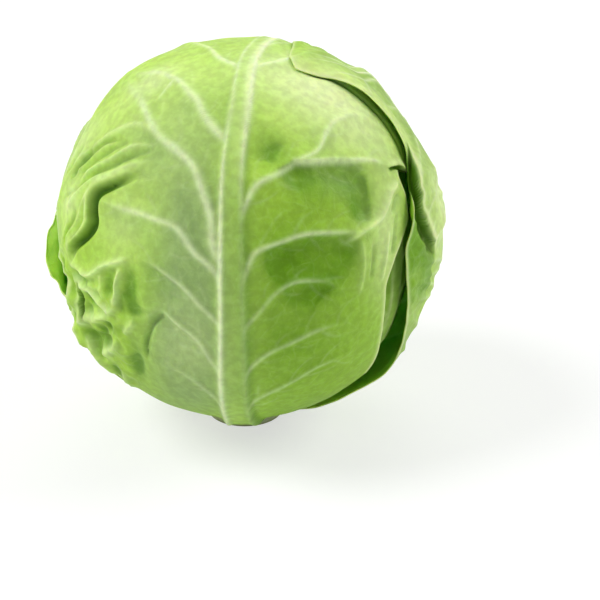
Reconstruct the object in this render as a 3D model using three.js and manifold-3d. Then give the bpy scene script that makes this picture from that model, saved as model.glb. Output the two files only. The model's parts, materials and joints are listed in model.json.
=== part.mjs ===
// A whole white cabbage, cut from its stalk and standing on the cut face.
//
// A cabbage is a short tapering stem that carries leaves in a spiral, each about 137.5 degrees round
// from the last. The inner leaves close over each other into a tight ball, and the last few lie round
// it as loose wrappers. Every leaf here is its own closed solid: a sheet bent over the head that
// starts at the stem, with a thick midrib where it is free to stand out. Each leaf keeps to a level
// of its own, a set distance out from or in from the head's plain surface, so no two meet.
//
// Frame: millimetres, +Z up along the stem, origin at the centre of the cut face, which is the small
// flat spot that the head rests on. The front is -Y and the right is +X.
//
// Two angles place a point on a leaf. "along" runs up the leaf from 0 at the bottom of the head,
// through 90 at the girth, to 180 at the crown and past it. "across" is the angle to either side of
// the middle, negative on the left as seen from outside. Both are in degrees.

import * as THREE from "three";
import { mergeVertices } from "three/addons/utils/BufferGeometryUtils.js";
import Module from "manifold-3d";

const DEG = Math.PI / 180;

// ---- Driving dimensions ----------------------------------------------------------------------
const GIRTH_RADIUS = 84.5; // head's centre to its side
const CROWN_RISE = 90; // head's centre to its crown
const BASE_DROP = 81; // head's centre to the undersides of the leaf bases
const CENTRE_HEIGHT = 90; // head's centre above the cut face
const SQUARENESS = 2.15; // 2 is an ellipsoid, and more is a fuller shoulder

const WRAPPER_THICKNESS = 1.5;
const INNER_THICKNESS = 1.9;
const FIRST_INNER_LEVEL = -12.8; // mm from the head's plain surface to the outer face
const INNER_PITCH = 3.3; // from one inner leaf's outer face to the next one's
const INNER_LEAVES = 14;
const FIRST_INNER_AZIMUTH = 327.5;
const SPIRAL_STEP = 137.5; // degrees from one leaf to the next
const HEART_LEVEL = FIRST_INNER_LEVEL - INNER_PITCH * INNER_LEAVES;

const RIB_FOOT = 4.3; // degrees from the midrib's centre line to its foot
const RIB_CREST = 1.6; // degrees from the centre line to the shoulder of its crest
const RIB_HEIGHT_BASE = 3.4;
const RIB_HEIGHT_TIP = 0.9;

const CUT_RADIUS = 18; // stem's cut face
const STEM_NECK_HEIGHT = 4;
const STEM_TOP_RADIUS = 7;
const STEM_TOP_HEIGHT = 78;
const STEM_ROUNDING = 6;
const STEM_CLEARANCE = 0.6; // between the stem and every leaf's base
const CLASP_LIMIT = 0.9; // how far round the stem a base can run, as a share of its own angle

const WRAPPER_GRID = { rows: 20, sides: [0.14, 0.3, 0.46, 0.61, 0.75, 0.88, 1] };
const INNER_GRID = { rows: 14, sides: [0.18, 0.36, 0.54, 0.7, 0.85, 1] };

// ---- Leaves, from the outermost in -------------------------------------------------------------
// level: mm from the head's plain surface to the leaf's outer face
// shape: rows of [along, across at the left edge, across at the midrib, across at the right edge]
// flares: where an edge stands away from the head. side is -1 for left and 1 for right, from and to
// are angles along, width is how far in from the edge the lift begins, and lift is in mm.
// bulges: broad swellings, or hollows where lift is negative, with their reach along and across.
const WRAPPERS = [
  {
    name: "wrapper_leaf_right",
    azimuth: 112,
    level: 5.2,
    shape: [
      [12, -11, 0, 11],
      [30, -30, 0, 38],
      [50, -41, 0, 50],
      [64, -49, 0, 56],
      [76, -54, 0, 60],
      [88, -56.5, 0, 63],
      [98, -56.5, 0, 63],
      [106, -55, 0, 61],
      [113, -52, -0.5, 58],
      [119, -48, -1, 54],
      [123, -44, -1.5, 51],
      [127, -39, -2, 48],
      [132, -34, -3, 44],
      [138, -28.5, -4, 39],
      [144, -25.5, -5, 32],
      [151, -22, -6.3, 22],
      [158, -18.8, -8, 12],
      [164, -18, -10, 0],
      [168, -17, -12, -7],
      [170, -16, -13, -11],
    ],
    flares: [
      { side: -1, from: 112, to: 163, width: 8, lift: 1.2 },
      { side: 1, from: 84, to: 138, width: 11, lift: 3 },
    ],
    bulges: [
      { along: 74, across: -50, reach: [26, 22], lift: -3 },
      { along: 92, across: -22, reach: [8, 12], lift: 2.4 },
      { along: 106, across: -33, reach: [19, 10], lift: 3.4 },
      { along: 108, across: -55, reach: [15, 10], lift: -2.4 },
      { along: 132, across: -10, reach: [14, 16], lift: -1.6 },
      { along: 133, across: 3, reach: [16, 14], lift: -2.4 },
      { along: 145, across: 25, reach: [22, 23], lift: -3.4 },
      { along: 160, across: -11, reach: [15, 14], lift: -1.6 },
      { along: 172, across: -11, reach: [16, 16], lift: -1.5 },
    ],
  },
  {
    name: "wrapper_leaf_left",
    azimuth: 232,
    level: 2.8,
    shape: [
      [12, -11, 0, 11],
      [30, -36, 0, 34],
      [42, -44, 0, 42],
      [52, -50, 0, 50],
      [60, -53, 0, 57],
      [68, -57, 0, 58],
      [74, -59, 0, 52],
      [80, -60, 0, 44],
      [87, -61, 0, 34],
      [93, -61, 0, 20],
      [99, -60, -1, 9],
      [107, -58, -3, 3],
      [118, -53, -6, 0],
      [130, -45, -10, -4],
      [138, -36, -14, -8],
      [143, -29, -17, -13],
      [146, -22, -18.5, -16.5],
    ],
    flares: [
      { side: 1, from: 72, to: 101, width: 12, lift: 6 },
      { side: -1, from: 96, to: 150, width: 10, lift: 0.8 },
    ],
    bulges: [
      { along: 92, across: 30, reach: [24, 14], lift: -2.2 },
      { along: 65, across: 48, reach: [13, 18], lift: -3 },
    ],
  },
  {
    name: "wrapper_leaf_front",
    azimuth: 0,
    level: 0,
    shape: [
      [12, -11, 0, 11],
      [31, -44, -1, 38],
      [43, -52, -2, 41],
      [56, -60.5, -3, 44],
      [68, -63.5, -3.5, 45.5],
      [78, -63, -3.5, 46.5],
      [85, -66, -3.5, 47],
      [92, -74, -3.5, 47.5],
      [102, -78, -3.5, 51],
      [120, -80, -3.2, 57],
      [132, -80, -2.6, 55.5],
      [142, -78, -1.4, 49.5],
      [152, -72, 0, 61],
      [162, -63, 1, 59],
      [174, -50, 3, 45],
      [188, -34, 7, 33],
      [199, -14, 10, 23],
      [205, -3, 10.5, 17],
      [208, 6, 10.5, 14],
    ],
    flares: [{ side: -1, from: 36, to: 88, width: 20, lift: 3.4 }],
    bulges: [
      { along: 134, across: -44, reach: [9, 18], lift: 2.6 },
      { along: 112, across: -60, reach: [13, 8], lift: 2.4 },
      { along: 118, across: -36, reach: [12, 14], lift: -1 },
      { along: 138, across: 46, reach: [16, 9], lift: 1.8 },
      { along: 106, across: 24, reach: [12, 14], lift: -1 },
      { along: 154, across: -68, reach: [18, 14], lift: 1.4 },
      { along: 186, across: -35, reach: [14, 20], lift: 1.4 },
    ],
  },
  {
    name: "under_leaf_left",
    azimuth: 275,
    level: -4.2,
    shape: [
      [12, -11, 0, 11],
      [32, -43, 0, 43],
      [55, -61, 0, 62],
      [90, -72, 0, 74],
      [125, -69, 0, 70],
      [150, -53, 0, 55],
      [170, -33, 0, 35],
      [188, -11, 0, 11],
    ],
    bulges: [
      { along: 104, across: -9, reach: [26, 10], lift: 3.4 },
      { along: 140, across: -26, reach: [22, 15], lift: 1.6 },
    ],
  },
  {
    name: "under_leaf_right",
    azimuth: 58,
    level: -7,
    shape: [
      [12, -11, 0, 11],
      [32, -42, 0, 43],
      [55, -60, 0, 61],
      [90, -73, 0, 72],
      [125, -70, 0, 68],
      [150, -55, 0, 53],
      [170, -35, 0, 33],
      [188, -11, 0, 11],
    ],
    bulges: [{ along: 108, across: 3, reach: [34, 7], lift: 3.6 }],
  },
  {
    name: "under_leaf_back",
    azimuth: 174,
    level: -9.8,
    shape: [
      [12, -11, 0, 11],
      [32, -42, 0, 42],
      [55, -60, 0, 60],
      [90, -72, 0, 72],
      [125, -69, 0, 69],
      [150, -54, 0, 54],
      [170, -34, 0, 34],
      [188, -11, 0, 11],
    ],
  },
];

const INNER_SHAPE = [
  [12, -11, 0, 11],
  [32, -44, 0, 44],
  [58, -66, 0, 66],
  [92, -77, 0, 77],
  [126, -73, 0, 73],
  [152, -58, 0, 58],
  [174, -36, 0, 36],
  [192, -12, 0, 12],
];

// ---- Small functions ---------------------------------------------------------------------------
const clamp01 = (x) => Math.min(1, Math.max(0, x));
const ease = (x) => clamp01(x) ** 2 * (3 - 2 * clamp01(x)); // from 0 to 1, level at both ends
const bell = (x) => Math.exp(-x * x);

// A smooth curve through one column of a leaf's shape, at an angle along.
function shapeAt(shape, column, along) {
  const last = shape.length - 1;
  const i = Math.max(0, Math.min(last - 1, shape.findIndex((row) => row[0] > along) - 1));
  const from = along >= shape[last][0] ? last - 1 : i;
  const slope = (k) => {
    const [a, b] = [shape[Math.max(0, k - 1)], shape[Math.min(last, k + 1)]];
    return (b[column] - a[column]) / (b[0] - a[0]);
  };
  const span = shape[from + 1][0] - shape[from][0];
  const x = clamp01((along - shape[from][0]) / span);
  return (
    shape[from][column] * (2 * x ** 3 - 3 * x ** 2 + 1) +
    slope(from) * span * (x ** 3 - 2 * x ** 2 + x) +
    shape[from + 1][column] * (3 * x ** 2 - 2 * x ** 3) +
    slope(from + 1) * span * (x ** 3 - x ** 2)
  );
}
const LEFT = 1;
const MIDRIB = 2;
const RIGHT = 3;

// The direction, from the head's centre, of a point on a leaf.
function direction(azimuth, along, across) {
  const [a, c, z] = [along * DEG, across * DEG, azimuth * DEG];
  const out = Math.cos(c) * Math.sin(a);
  const side = Math.sin(c);
  return new THREE.Vector3(
    side * Math.cos(z) + out * Math.sin(z),
    side * Math.sin(z) - out * Math.cos(z),
    -Math.cos(c) * Math.cos(a),
  );
}

// How far the head's plain surface is in a direction: a rounded body, fuller than an ellipsoid.
function bodyRadius(d) {
  const flat = Math.hypot(d.x, d.y) / GIRTH_RADIUS;
  const up = Math.abs(d.z) / (d.z > 0 ? CROWN_RISE : BASE_DROP);
  return (flat ** SQUARENESS + up ** SQUARENESS) ** (-1 / SQUARENESS);
}

// Lifted edges and swellings of a leaf, in mm out from its level.
function reliefOf(leaf, along, across) {
  let lift = 0;
  for (const flare of leaf.flares ?? []) {
    const edge = flare.side * shapeAt(leaf.shape, flare.side < 0 ? LEFT : RIGHT, along);
    const inwards = ease((flare.side * across - edge + flare.width) / flare.width);
    const ends = ease((along - flare.from) / 14) * ease((flare.to - along) / 14);
    lift += flare.lift * inwards ** 2 * ends;
  }
  for (const { along: a, across: c, reach, lift: height } of leaf.bulges ?? []) {
    lift += height * bell((along - a) / reach[0]) * bell((across - c) / reach[1]);
  }
  return lift;
}

// The midrib stands out of a wrapper's face, most near its base, and dies out towards the tip. Leaves
// under others have it pressed flat.
function ribOf(leaf, along, across) {
  if (leaf.level < 0) return 0;
  const off = Math.abs(across - shapeAt(leaf.shape, MIDRIB, along));
  const height = RIB_HEIGHT_BASE + (RIB_HEIGHT_TIP - RIB_HEIGHT_BASE) * ease((along - 30) / 130);
  const ends = ease((along - 12) / 20) * ease((leaf.shape[leaf.shape.length - 1][0] - along) / 30);
  return height * ends * (1 - ease((off - RIB_CREST) / (RIB_FOOT - RIB_CREST)));
}

// A point on each face of a leaf.
function facesOf(leaf, along, across) {
  const d = direction(leaf.azimuth, along, across);
  const skin = bodyRadius(d) + leaf.level + reliefOf(leaf, along, across);
  return {
    outer: d.clone().multiplyScalar(skin + ribOf(leaf, along, across)),
    inner: d.clone().multiplyScalar(skin - leaf.thickness),
  };
}

// ---- The stem ----------------------------------------------------------------------------------
// Its radius at a height: a short neck, then a straight taper.
function stemRadius(height) {
  const x = clamp01((height - STEM_NECK_HEIGHT) / (STEM_TOP_HEIGHT - STEM_NECK_HEIGHT));
  return CUT_RADIUS + (STEM_TOP_RADIUS - CUT_RADIUS) * x;
}

// The stem as a lathe, grown all over by a clearance to make the hollow that it needs in the heart.
function stemGeometry(clearance) {
  const shoulder = STEM_TOP_HEIGHT - STEM_ROUNDING;
  const profile = [
    new THREE.Vector2(0, -clearance),
    new THREE.Vector2(CUT_RADIUS + clearance, -clearance),
  ];
  for (const height of [STEM_NECK_HEIGHT, 26, 50, shoulder]) {
    profile.push(new THREE.Vector2(stemRadius(height) + clearance, height));
  }
  for (const turn of [35, 65]) {
    const radius = stemRadius(shoulder) * Math.cos(turn * DEG);
    const height = shoulder + STEM_ROUNDING * Math.sin(turn * DEG);
    profile.push(new THREE.Vector2(radius + clearance, height + clearance));
  }
  profile.push(new THREE.Vector2(0, STEM_TOP_HEIGHT + clearance));
  return new THREE.LatheGeometry(profile, 24).rotateX(Math.PI / 2);
}

// ---- Leaf solids ---------------------------------------------------------------------------------
// The angle along at which a leaf's base clears the stem. It depends on the stem's radius at the
// height where they meet, so it is found by going round a few times.
function baseAngle(leaf) {
  let along = leaf.shape[0][0];
  for (let i = 0; i < 8; i++) {
    const reach = facesOf(leaf, along, 0).inner.length();
    const height = CENTRE_HEIGHT - reach * Math.cos(along * DEG);
    along = Math.asin((stemRadius(height) + STEM_CLEARANCE) / reach) / DEG;
  }
  return along;
}

// Angles across of a row's points: the midrib's strip, then shares of what is left to each edge. The
// strip narrows where a pointed tip has no room for it.
function rowAcross(leaf, along, grid) {
  const [left, rib, right] = [LEFT, MIDRIB, RIGHT].map((c) => shapeAt(leaf.shape, c, along));
  const room = Math.min(1, (rib - left) / (1.5 * RIB_FOOT), (right - rib) / (1.5 * RIB_FOOT));
  const strip = leaf.level < 0 ? [0] : [-RIB_FOOT, -RIB_CREST, RIB_CREST, RIB_FOOT];
  const inner = strip.map((x) => rib + x * room);
  const [low, high] = [inner[0], inner[inner.length - 1]];
  return [
    ...grid.sides.map((share) => low + (left - low) * share).reverse(),
    ...inner,
    ...grid.sides.map((share) => high + (right - high) * share),
  ];
}

// A closed shell from two grids of points: an outer face, an inner face and a rim that joins them.
function shellFrom(outer, inner) {
  const [rows, columns] = [outer.length, outer[0].length];
  const points = [...outer.flat(), ...inner.flat()];
  const at = (face, i, j) => (face * rows + i) * columns + j;
  const faces = [];
  const quad = (a, b, c, d) => faces.push(a, b, c, a, c, d);
  for (let i = 0; i < rows - 1; i++) {
    for (let j = 0; j < columns - 1; j++) {
      quad(at(0, i, j), at(0, i, j + 1), at(0, i + 1, j + 1), at(0, i + 1, j));
      quad(at(1, i, j), at(1, i + 1, j), at(1, i + 1, j + 1), at(1, i, j + 1));
    }
  }
  const [top, end] = [rows - 1, columns - 1];
  for (let j = 0; j < end; j++) {
    quad(at(0, 0, j), at(1, 0, j), at(1, 0, j + 1), at(0, 0, j + 1));
    quad(at(0, top, j), at(0, top, j + 1), at(1, top, j + 1), at(1, top, j));
  }
  for (let i = 0; i < top; i++) {
    quad(at(0, i, 0), at(0, i + 1, 0), at(1, i + 1, 0), at(1, i, 0));
    quad(at(0, i, end), at(1, i, end), at(1, i + 1, end), at(0, i + 1, end));
  }
  return new THREE.BufferGeometry()
    .setAttribute("position", new THREE.Float32BufferAttribute(points.flatMap((p) => p.toArray()), 3))
    .setIndex(faces);
}

// How much lower a leaf's base reaches at its sides than in the middle, to run round the stem.
function clasp(first, across) {
  const bent = Math.min(Math.abs(across), CLASP_LIMIT * first) * DEG;
  return first - Math.acos(Math.cos(first * DEG) / Math.cos(bent)) / DEG;
}

// Rows of points from the base, bent round the stem, to the tip. The bend fades in a few rows.
function leafGeometry(leaf, grid) {
  const first = baseAngle(leaf);
  const last = leaf.shape[leaf.shape.length - 1][0];
  const base = rowAcross(leaf, first, grid);
  const [outer, inner] = [[], []];
  for (let i = 0; i < grid.rows; i++) {
    const share = i / (grid.rows - 1);
    const along = first + (last - first) * share;
    const row = rowAcross(leaf, along, grid).map((across, j) =>
      facesOf(leaf, along - clasp(first, base[j]) * (1 - share) ** 6, across),
    );
    outer.push(row.map((point) => point.outer));
    inner.push(row.map((point) => point.inner));
  }
  return shellFrom(outer, inner);
}

// ---- The heart -----------------------------------------------------------------------------------
// The smallest leaves, still folded in one tight ball, with a hollow below for the stem's top.
function heartProfile() {
  const profile = [];
  for (let along = 0; along <= 180; along += 12) {
    const d = direction(0, along, 0);
    const radius = bodyRadius(d) + HEART_LEVEL;
    profile.push(new THREE.Vector2(radius * Math.sin(along * DEG), radius * d.z));
  }
  profile[0].x = 0;
  profile[profile.length - 1].x = 0;
  return profile;
}

const wasm = await Module();
wasm.setup();

function solidFrom(geometry) {
  const bare = geometry.clone();
  bare.deleteAttribute("normal");
  bare.deleteAttribute("uv");
  const merged = mergeVertices(bare, 1e-3);
  return new wasm.Manifold(
    new wasm.Mesh({
      numProp: 3,
      vertProperties: merged.attributes.position.array,
      triVerts: new Uint32Array(merged.index.array),
    }),
  );
}

function heartGeometry() {
  const ball = new THREE.LatheGeometry(heartProfile(), 20).rotateX(Math.PI / 2);
  const hollow = stemGeometry(STEM_CLEARANCE).translate(0, 0, -CENTRE_HEIGHT);
  const { vertProperties, triVerts } = solidFrom(ball).subtract(solidFrom(hollow)).getMesh();
  return new THREE.BufferGeometry()
    .setAttribute("position", new THREE.BufferAttribute(vertProperties, 3))
    .setIndex(new THREE.BufferAttribute(triVerts, 1));
}

// ---- Materials and assembly ----------------------------------------------------------------------
const material = (name, color, roughness) => {
  const made = new THREE.MeshStandardMaterial({ color, roughness, metalness: 0 });
  made.name = name;
  return made;
};
const WRAPPER_GREEN = material("wrapper_leaf", 0xa9cf6e, 0.45);
const UNDER_GREEN = material("under_leaf", 0xb4d873, 0.5);
const INNER_CREAM = material("inner_leaf", 0xdfe8b4, 0.5);
const STEM_WHITE = material("stem_flesh", 0xe9e8c8, 0.6);

const cabbage = new THREE.Group();
const head = new THREE.Group();
head.position.z = CENTRE_HEIGHT;
cabbage.add(head);

function addPiece(parent, name, geometry, finish) {
  geometry.computeVertexNormals();
  const mesh = new THREE.Mesh(geometry, finish);
  mesh.name = name;
  parent.add(mesh);
}

for (const leaf of WRAPPERS) {
  const finish = leaf.level < 0 ? UNDER_GREEN : WRAPPER_GREEN;
  const geometry = leafGeometry({ ...leaf, thickness: WRAPPER_THICKNESS }, WRAPPER_GRID);
  addPiece(head, leaf.name, geometry, finish);
}
for (let i = 0; i < INNER_LEAVES; i++) {
  const leaf = {
    azimuth: FIRST_INNER_AZIMUTH + i * SPIRAL_STEP,
    level: FIRST_INNER_LEVEL - i * INNER_PITCH,
    thickness: INNER_THICKNESS,
    shape: INNER_SHAPE,
  };
  const name = `inner_leaf_${String(i + 1).padStart(2, "0")}`;
  addPiece(head, name, leafGeometry(leaf, INNER_GRID), INNER_CREAM);
}
addPiece(head, "heart", heartGeometry(), INNER_CREAM);
addPiece(cabbage, "stem", stemGeometry(0), STEM_WHITE);

export default cabbage;
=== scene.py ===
# %% [markdown]
# # A white cabbage
#
# A cabbage head is a short stem with leaves wrapped over each other in a spiral. This lesson gives
# each leaf of a measured solid model its real surface: a thick midrib, side veins that fork into
# finer ones, a blade that sinks between them, and the pleats and ruffles of the loose outer leaves.
#
# Lengths are worked out in millimetres and put into the meshes in metres. +Z is up along the stem,
# the front is -Y, and the origin is the middle of the stem's cut face.

# %% Tools and the measured model
import json
import math

import bpy
import numpy as np
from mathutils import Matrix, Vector

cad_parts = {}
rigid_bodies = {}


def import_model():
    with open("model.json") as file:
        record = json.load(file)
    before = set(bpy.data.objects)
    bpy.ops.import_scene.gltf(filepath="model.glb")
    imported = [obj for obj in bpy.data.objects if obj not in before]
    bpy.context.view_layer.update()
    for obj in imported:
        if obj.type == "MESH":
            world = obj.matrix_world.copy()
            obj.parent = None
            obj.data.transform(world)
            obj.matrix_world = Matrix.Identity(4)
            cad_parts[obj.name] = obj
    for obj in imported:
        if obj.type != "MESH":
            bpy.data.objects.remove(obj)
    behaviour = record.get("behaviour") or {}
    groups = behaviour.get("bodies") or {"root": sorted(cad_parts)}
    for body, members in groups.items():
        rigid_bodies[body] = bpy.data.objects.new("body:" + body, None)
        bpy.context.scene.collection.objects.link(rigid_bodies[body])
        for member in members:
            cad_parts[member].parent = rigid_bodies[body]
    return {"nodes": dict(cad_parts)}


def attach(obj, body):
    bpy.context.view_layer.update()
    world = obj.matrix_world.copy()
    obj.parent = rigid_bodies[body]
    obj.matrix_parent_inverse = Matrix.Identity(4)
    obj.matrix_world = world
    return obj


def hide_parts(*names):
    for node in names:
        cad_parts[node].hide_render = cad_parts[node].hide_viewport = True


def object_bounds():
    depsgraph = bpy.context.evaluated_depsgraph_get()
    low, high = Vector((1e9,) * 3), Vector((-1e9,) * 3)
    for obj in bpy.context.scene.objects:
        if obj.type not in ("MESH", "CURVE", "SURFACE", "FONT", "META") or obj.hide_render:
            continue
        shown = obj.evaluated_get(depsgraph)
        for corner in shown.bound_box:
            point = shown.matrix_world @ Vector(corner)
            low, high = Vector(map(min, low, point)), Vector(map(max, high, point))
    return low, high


for leftover in list(bpy.data.objects):
    bpy.data.objects.remove(leftover)
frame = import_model()
model_box = [[float(x) for x in corner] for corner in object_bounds()]
print("model box in metres", model_box, "with", len(frame["nodes"]), "solids")

# %% [markdown]
# ## Floor, light and camera
#
# A still life on white is lit softly by wide windows. The strongest is high on the left, a weaker
# one is on the right, and a third is behind. Round things shade gently that way, and raised veins
# catch some light. Area lamps would do as well, but a sun lamp with a wide disc lights evenly
# however far away it stands. The floor and the world are white to the camera, and the floor keeps
# the shadow under the head. A long lens from a little above gives the view of something seen on a
# table.

# %% The floor
FLOOR_SIZE = 8  # metres
FLOOR_GLOW, GLOW_SHARE = 1.22, 0.5


def new_material(name):
    """An empty node material and its node tree, with only an output in it."""
    made = bpy.data.materials.new(name)
    made.use_nodes = True
    tree = made.node_tree
    tree.nodes.clear()
    output = tree.nodes.new("ShaderNodeOutputMaterial")
    return made, tree, output


def white_floor():
    """A white diffuse ground. Rays straight from the camera see a share of it as plain white, so
    that it ends up white where it is lit and keeps a soft shadow."""
    made, tree, output = new_material("White floor")
    matt = tree.nodes.new("ShaderNodeBsdfDiffuse")
    matt.inputs["Color"].default_value = (0.84, 0.85, 0.84, 1)
    glow = tree.nodes.new("ShaderNodeEmission")
    glow.inputs["Strength"].default_value = FLOOR_GLOW
    path = tree.nodes.new("ShaderNodeLightPath")
    share = tree.nodes.new("ShaderNodeMath")
    share.operation = "MULTIPLY"
    share.inputs[1].default_value = GLOW_SHARE
    mix = tree.nodes.new("ShaderNodeMixShader")
    tree.links.new(path.outputs["Is Camera Ray"], share.inputs[0])
    tree.links.new(share.outputs[0], mix.inputs["Fac"])
    tree.links.new(matt.outputs[0], mix.inputs[1])
    tree.links.new(glow.outputs[0], mix.inputs[2])
    tree.links.new(mix.outputs[0], output.inputs["Surface"])
    return made


bpy.ops.mesh.primitive_plane_add(size=FLOOR_SIZE)
floor = bpy.context.object
floor.name = "floor"
floor.data.materials.append(white_floor())
print("floor", tuple(floor.dimensions))

# %% World and lamps


def white_world(strength):
    """An even soft light from all round, which the camera sees as white."""
    world = bpy.data.worlds.new("White world")
    bpy.context.scene.world = world
    world.use_nodes = True
    tree = world.node_tree
    tree.nodes.clear()
    output = tree.nodes.new("ShaderNodeOutputWorld")
    back = tree.nodes.new("ShaderNodeBackground")
    back.inputs["Color"].default_value = (1, 1, 1, 1)
    path = tree.nodes.new("ShaderNodeLightPath")
    level = tree.nodes.new("ShaderNodeMapRange")
    level.inputs["To Min"].default_value = strength
    level.inputs["To Max"].default_value = 1.0
    tree.links.new(path.outputs["Is Camera Ray"], level.inputs["Value"])
    tree.links.new(level.outputs["Result"], back.inputs["Strength"])
    tree.links.new(back.outputs[0], output.inputs["Surface"])


def window_light(name, towards, strength, softness):
    """Even light from one side, as from a big window: a sun lamp with a very wide disc. towards is
    where the light comes from, and softness is the disc's width in degrees."""
    lamp = bpy.data.lights.new(name, "SUN")
    lamp.energy, lamp.angle = strength, math.radians(softness)
    held = bpy.data.objects.new(name, lamp)
    held.location = Vector(towards).normalized() * 1.5
    held.rotation_euler = Vector(towards).to_track_quat("Z", "Y").to_euler()
    bpy.context.collection.objects.link(held)


white_world(0.30)
window_light("left window", (-0.9, -0.1, 1.0), 2.1, 30)
window_light("right window", (1.0, 0.15, 0.7), 1.4, 30)
window_light("back window", (0.1, 1.0, 1.1), 0.7, 40)

# %% Camera
eye = bpy.data.objects.new("camera", bpy.data.cameras.new("camera"))
bpy.context.collection.objects.link(eye)
eye.data.lens = 111.64
eye.location = (0, -0.7765, 0.4357)
aim = Vector((0.0256, -0.0121, 0.0629))
eye.rotation_euler = (aim - eye.location).to_track_quat("-Z", "Y").to_euler()
bpy.context.scene.camera = eye
bpy.context.scene.view_settings.view_transform = "Standard"
print("camera", tuple(eye.location), "lens", eye.data.lens)

# %% [markdown]
# ## Places on the head
#
# A place on a leaf is given by two angles. "Along" runs up the leaf from 0 under the head,
# through 90 at the girth, to 180 at the crown and past it. "Across" is the angle to either side
# of the leaf's middle. The head's plain surface is a rounded body a little fuller than an
# ellipsoid, and each leaf keeps to its own level out from or in from it. The sizes repeat those
# of the solid model, so each surface lies where its solid is.

# %% The head's plain surface
GIRTH_RADIUS, CROWN_RISE, BASE_DROP = 84.5, 90.0, 81.0
CENTRE_HEIGHT, SQUARENESS = 90.0, 2.15
CHART_RADIUS = 85.0  # distances between places are measured on a ball of this size
DEGREE = CHART_RADIUS * math.pi / 180  # mm on that ball


def direction(azimuth, along, across):
    """The unit vector from the head's centre to a place: the leaf's own frame of out, side and
    down vectors, weighted by the sines and cosines of the two angles."""
    a, c, z = np.radians(along), np.radians(across), math.radians(azimuth)
    out, side = np.cos(c) * np.sin(a), np.sin(c)
    x = side * math.cos(z) + out * math.sin(z)
    y = side * math.sin(z) - out * math.cos(z)
    return np.stack([x, y, -np.cos(c) * np.cos(a)], axis=-1)


def body_radius(d):
    """The head's radius in a direction: its shares outwards and upwards, each raised to the
    squareness, add up to 1."""
    flat = np.hypot(d[..., 0], d[..., 1]) / GIRTH_RADIUS
    up = np.abs(d[..., 2]) / np.where(d[..., 2] > 0, CROWN_RISE, BASE_DROP)
    return (flat**SQUARENESS + up**SQUARENESS) ** (-1 / SQUARENESS)


def ease(x):
    """From 0 to 1 as x goes from 0 to 1, level at both ends."""
    x = np.clip(x, 0, 1)
    return x * x * (3 - 2 * x)


def bell(x):
    """1 at x = 0, falling away smoothly to both sides."""
    return np.exp(-x * x)


def shape_at(shape, column, along):
    """A smooth curve through one column of a leaf's shape. Between two rows it is a cubic, and its
    slope at each row is that of the line through the rows on both sides."""
    x, y = shape[:, 0], shape[:, column]
    low, high = np.maximum(np.arange(len(x)) - 1, 0), np.minimum(np.arange(len(x)) + 1, len(x) - 1)
    slope = (y[high] - y[low]) / (x[high] - x[low])
    i = np.clip(np.searchsorted(x, along, side="right") - 1, 0, len(x) - 2)
    span = x[i + 1] - x[i]
    w = np.clip((along - x[i]) / span, 0, 1)
    return (
        y[i] * (2 * w**3 - 3 * w**2 + 1)
        + slope[i] * span * (w**3 - 2 * w**2 + w)
        + y[i + 1] * (3 * w**2 - 2 * w**3)
        + slope[i + 1] * span * (w**3 - w**2)
    )


print("girth", body_radius(direction(0, 90, 0)), "crown", body_radius(direction(0, 180, 0)))

# %% [markdown]
# ## Lines over a leaf
#
# Veins, wrinkles and pleats all follow lines over the head. A line is a smooth curve through a
# few places, and each point of a leaf needs to know how far away the line is, how far along it
# the nearest place lies, and on which side. A ridge is then a bell of that distance, and a pleat
# is a different height on either side. Points are nudged by a slow ripple before they are
# measured, so that no line runs as smoothly as it was drawn.

# %% Lines, distances and ripples


def ripple(points, size, seed, waves=9):
    """An even, seamless unevenness from about -1 to 1: the sum of waves with a length near size in
    mm, running in directions drawn from a seeded list."""
    draw = np.random.default_rng(seed)
    run = draw.normal(size=(waves, 3))
    rate = 2 * np.pi / size * draw.uniform(0.75, 1.3, waves)
    run *= (rate / np.linalg.norm(run, axis=1))[:, None]
    start = draw.uniform(0, 2 * np.pi, waves)
    return np.sin(points @ run.T + start).sum(axis=1) / math.sqrt(waves)


def nudged(points, size, amount, seed):
    """Points moved by up to about amount mm in each direction by ripples of a size."""
    moves = [ripple(points, size, seed + 300 * k) for k in range(3)]
    return points + amount * np.stack(moves, axis=1)


def trace(azimuth, places, samples=6):
    """A smooth line through (along, across) places. Each stretch between two places is a
    Catmull-Rom cubic, cut into short straight steps on the chart ball."""
    p = np.array(places, float)
    p = np.vstack([2 * p[0] - p[1], p, 2 * p[-1] - p[-2]])
    w = np.linspace(0, 1, samples, endpoint=False)[:, None]
    a, b, c, d = p[:-3, None], p[1:-2, None], p[2:-1, None], p[3:, None]
    curve = b + 0.5 * w * (c - a + w * (2 * a - 5 * b + 4 * c - d + w * (3 * (b - c) + d - a)))
    curve = np.vstack([curve.reshape(-1, 2), p[-2]])
    return CHART_RADIUS * direction(azimuth, curve[:, 0], curve[:, 1])


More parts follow.
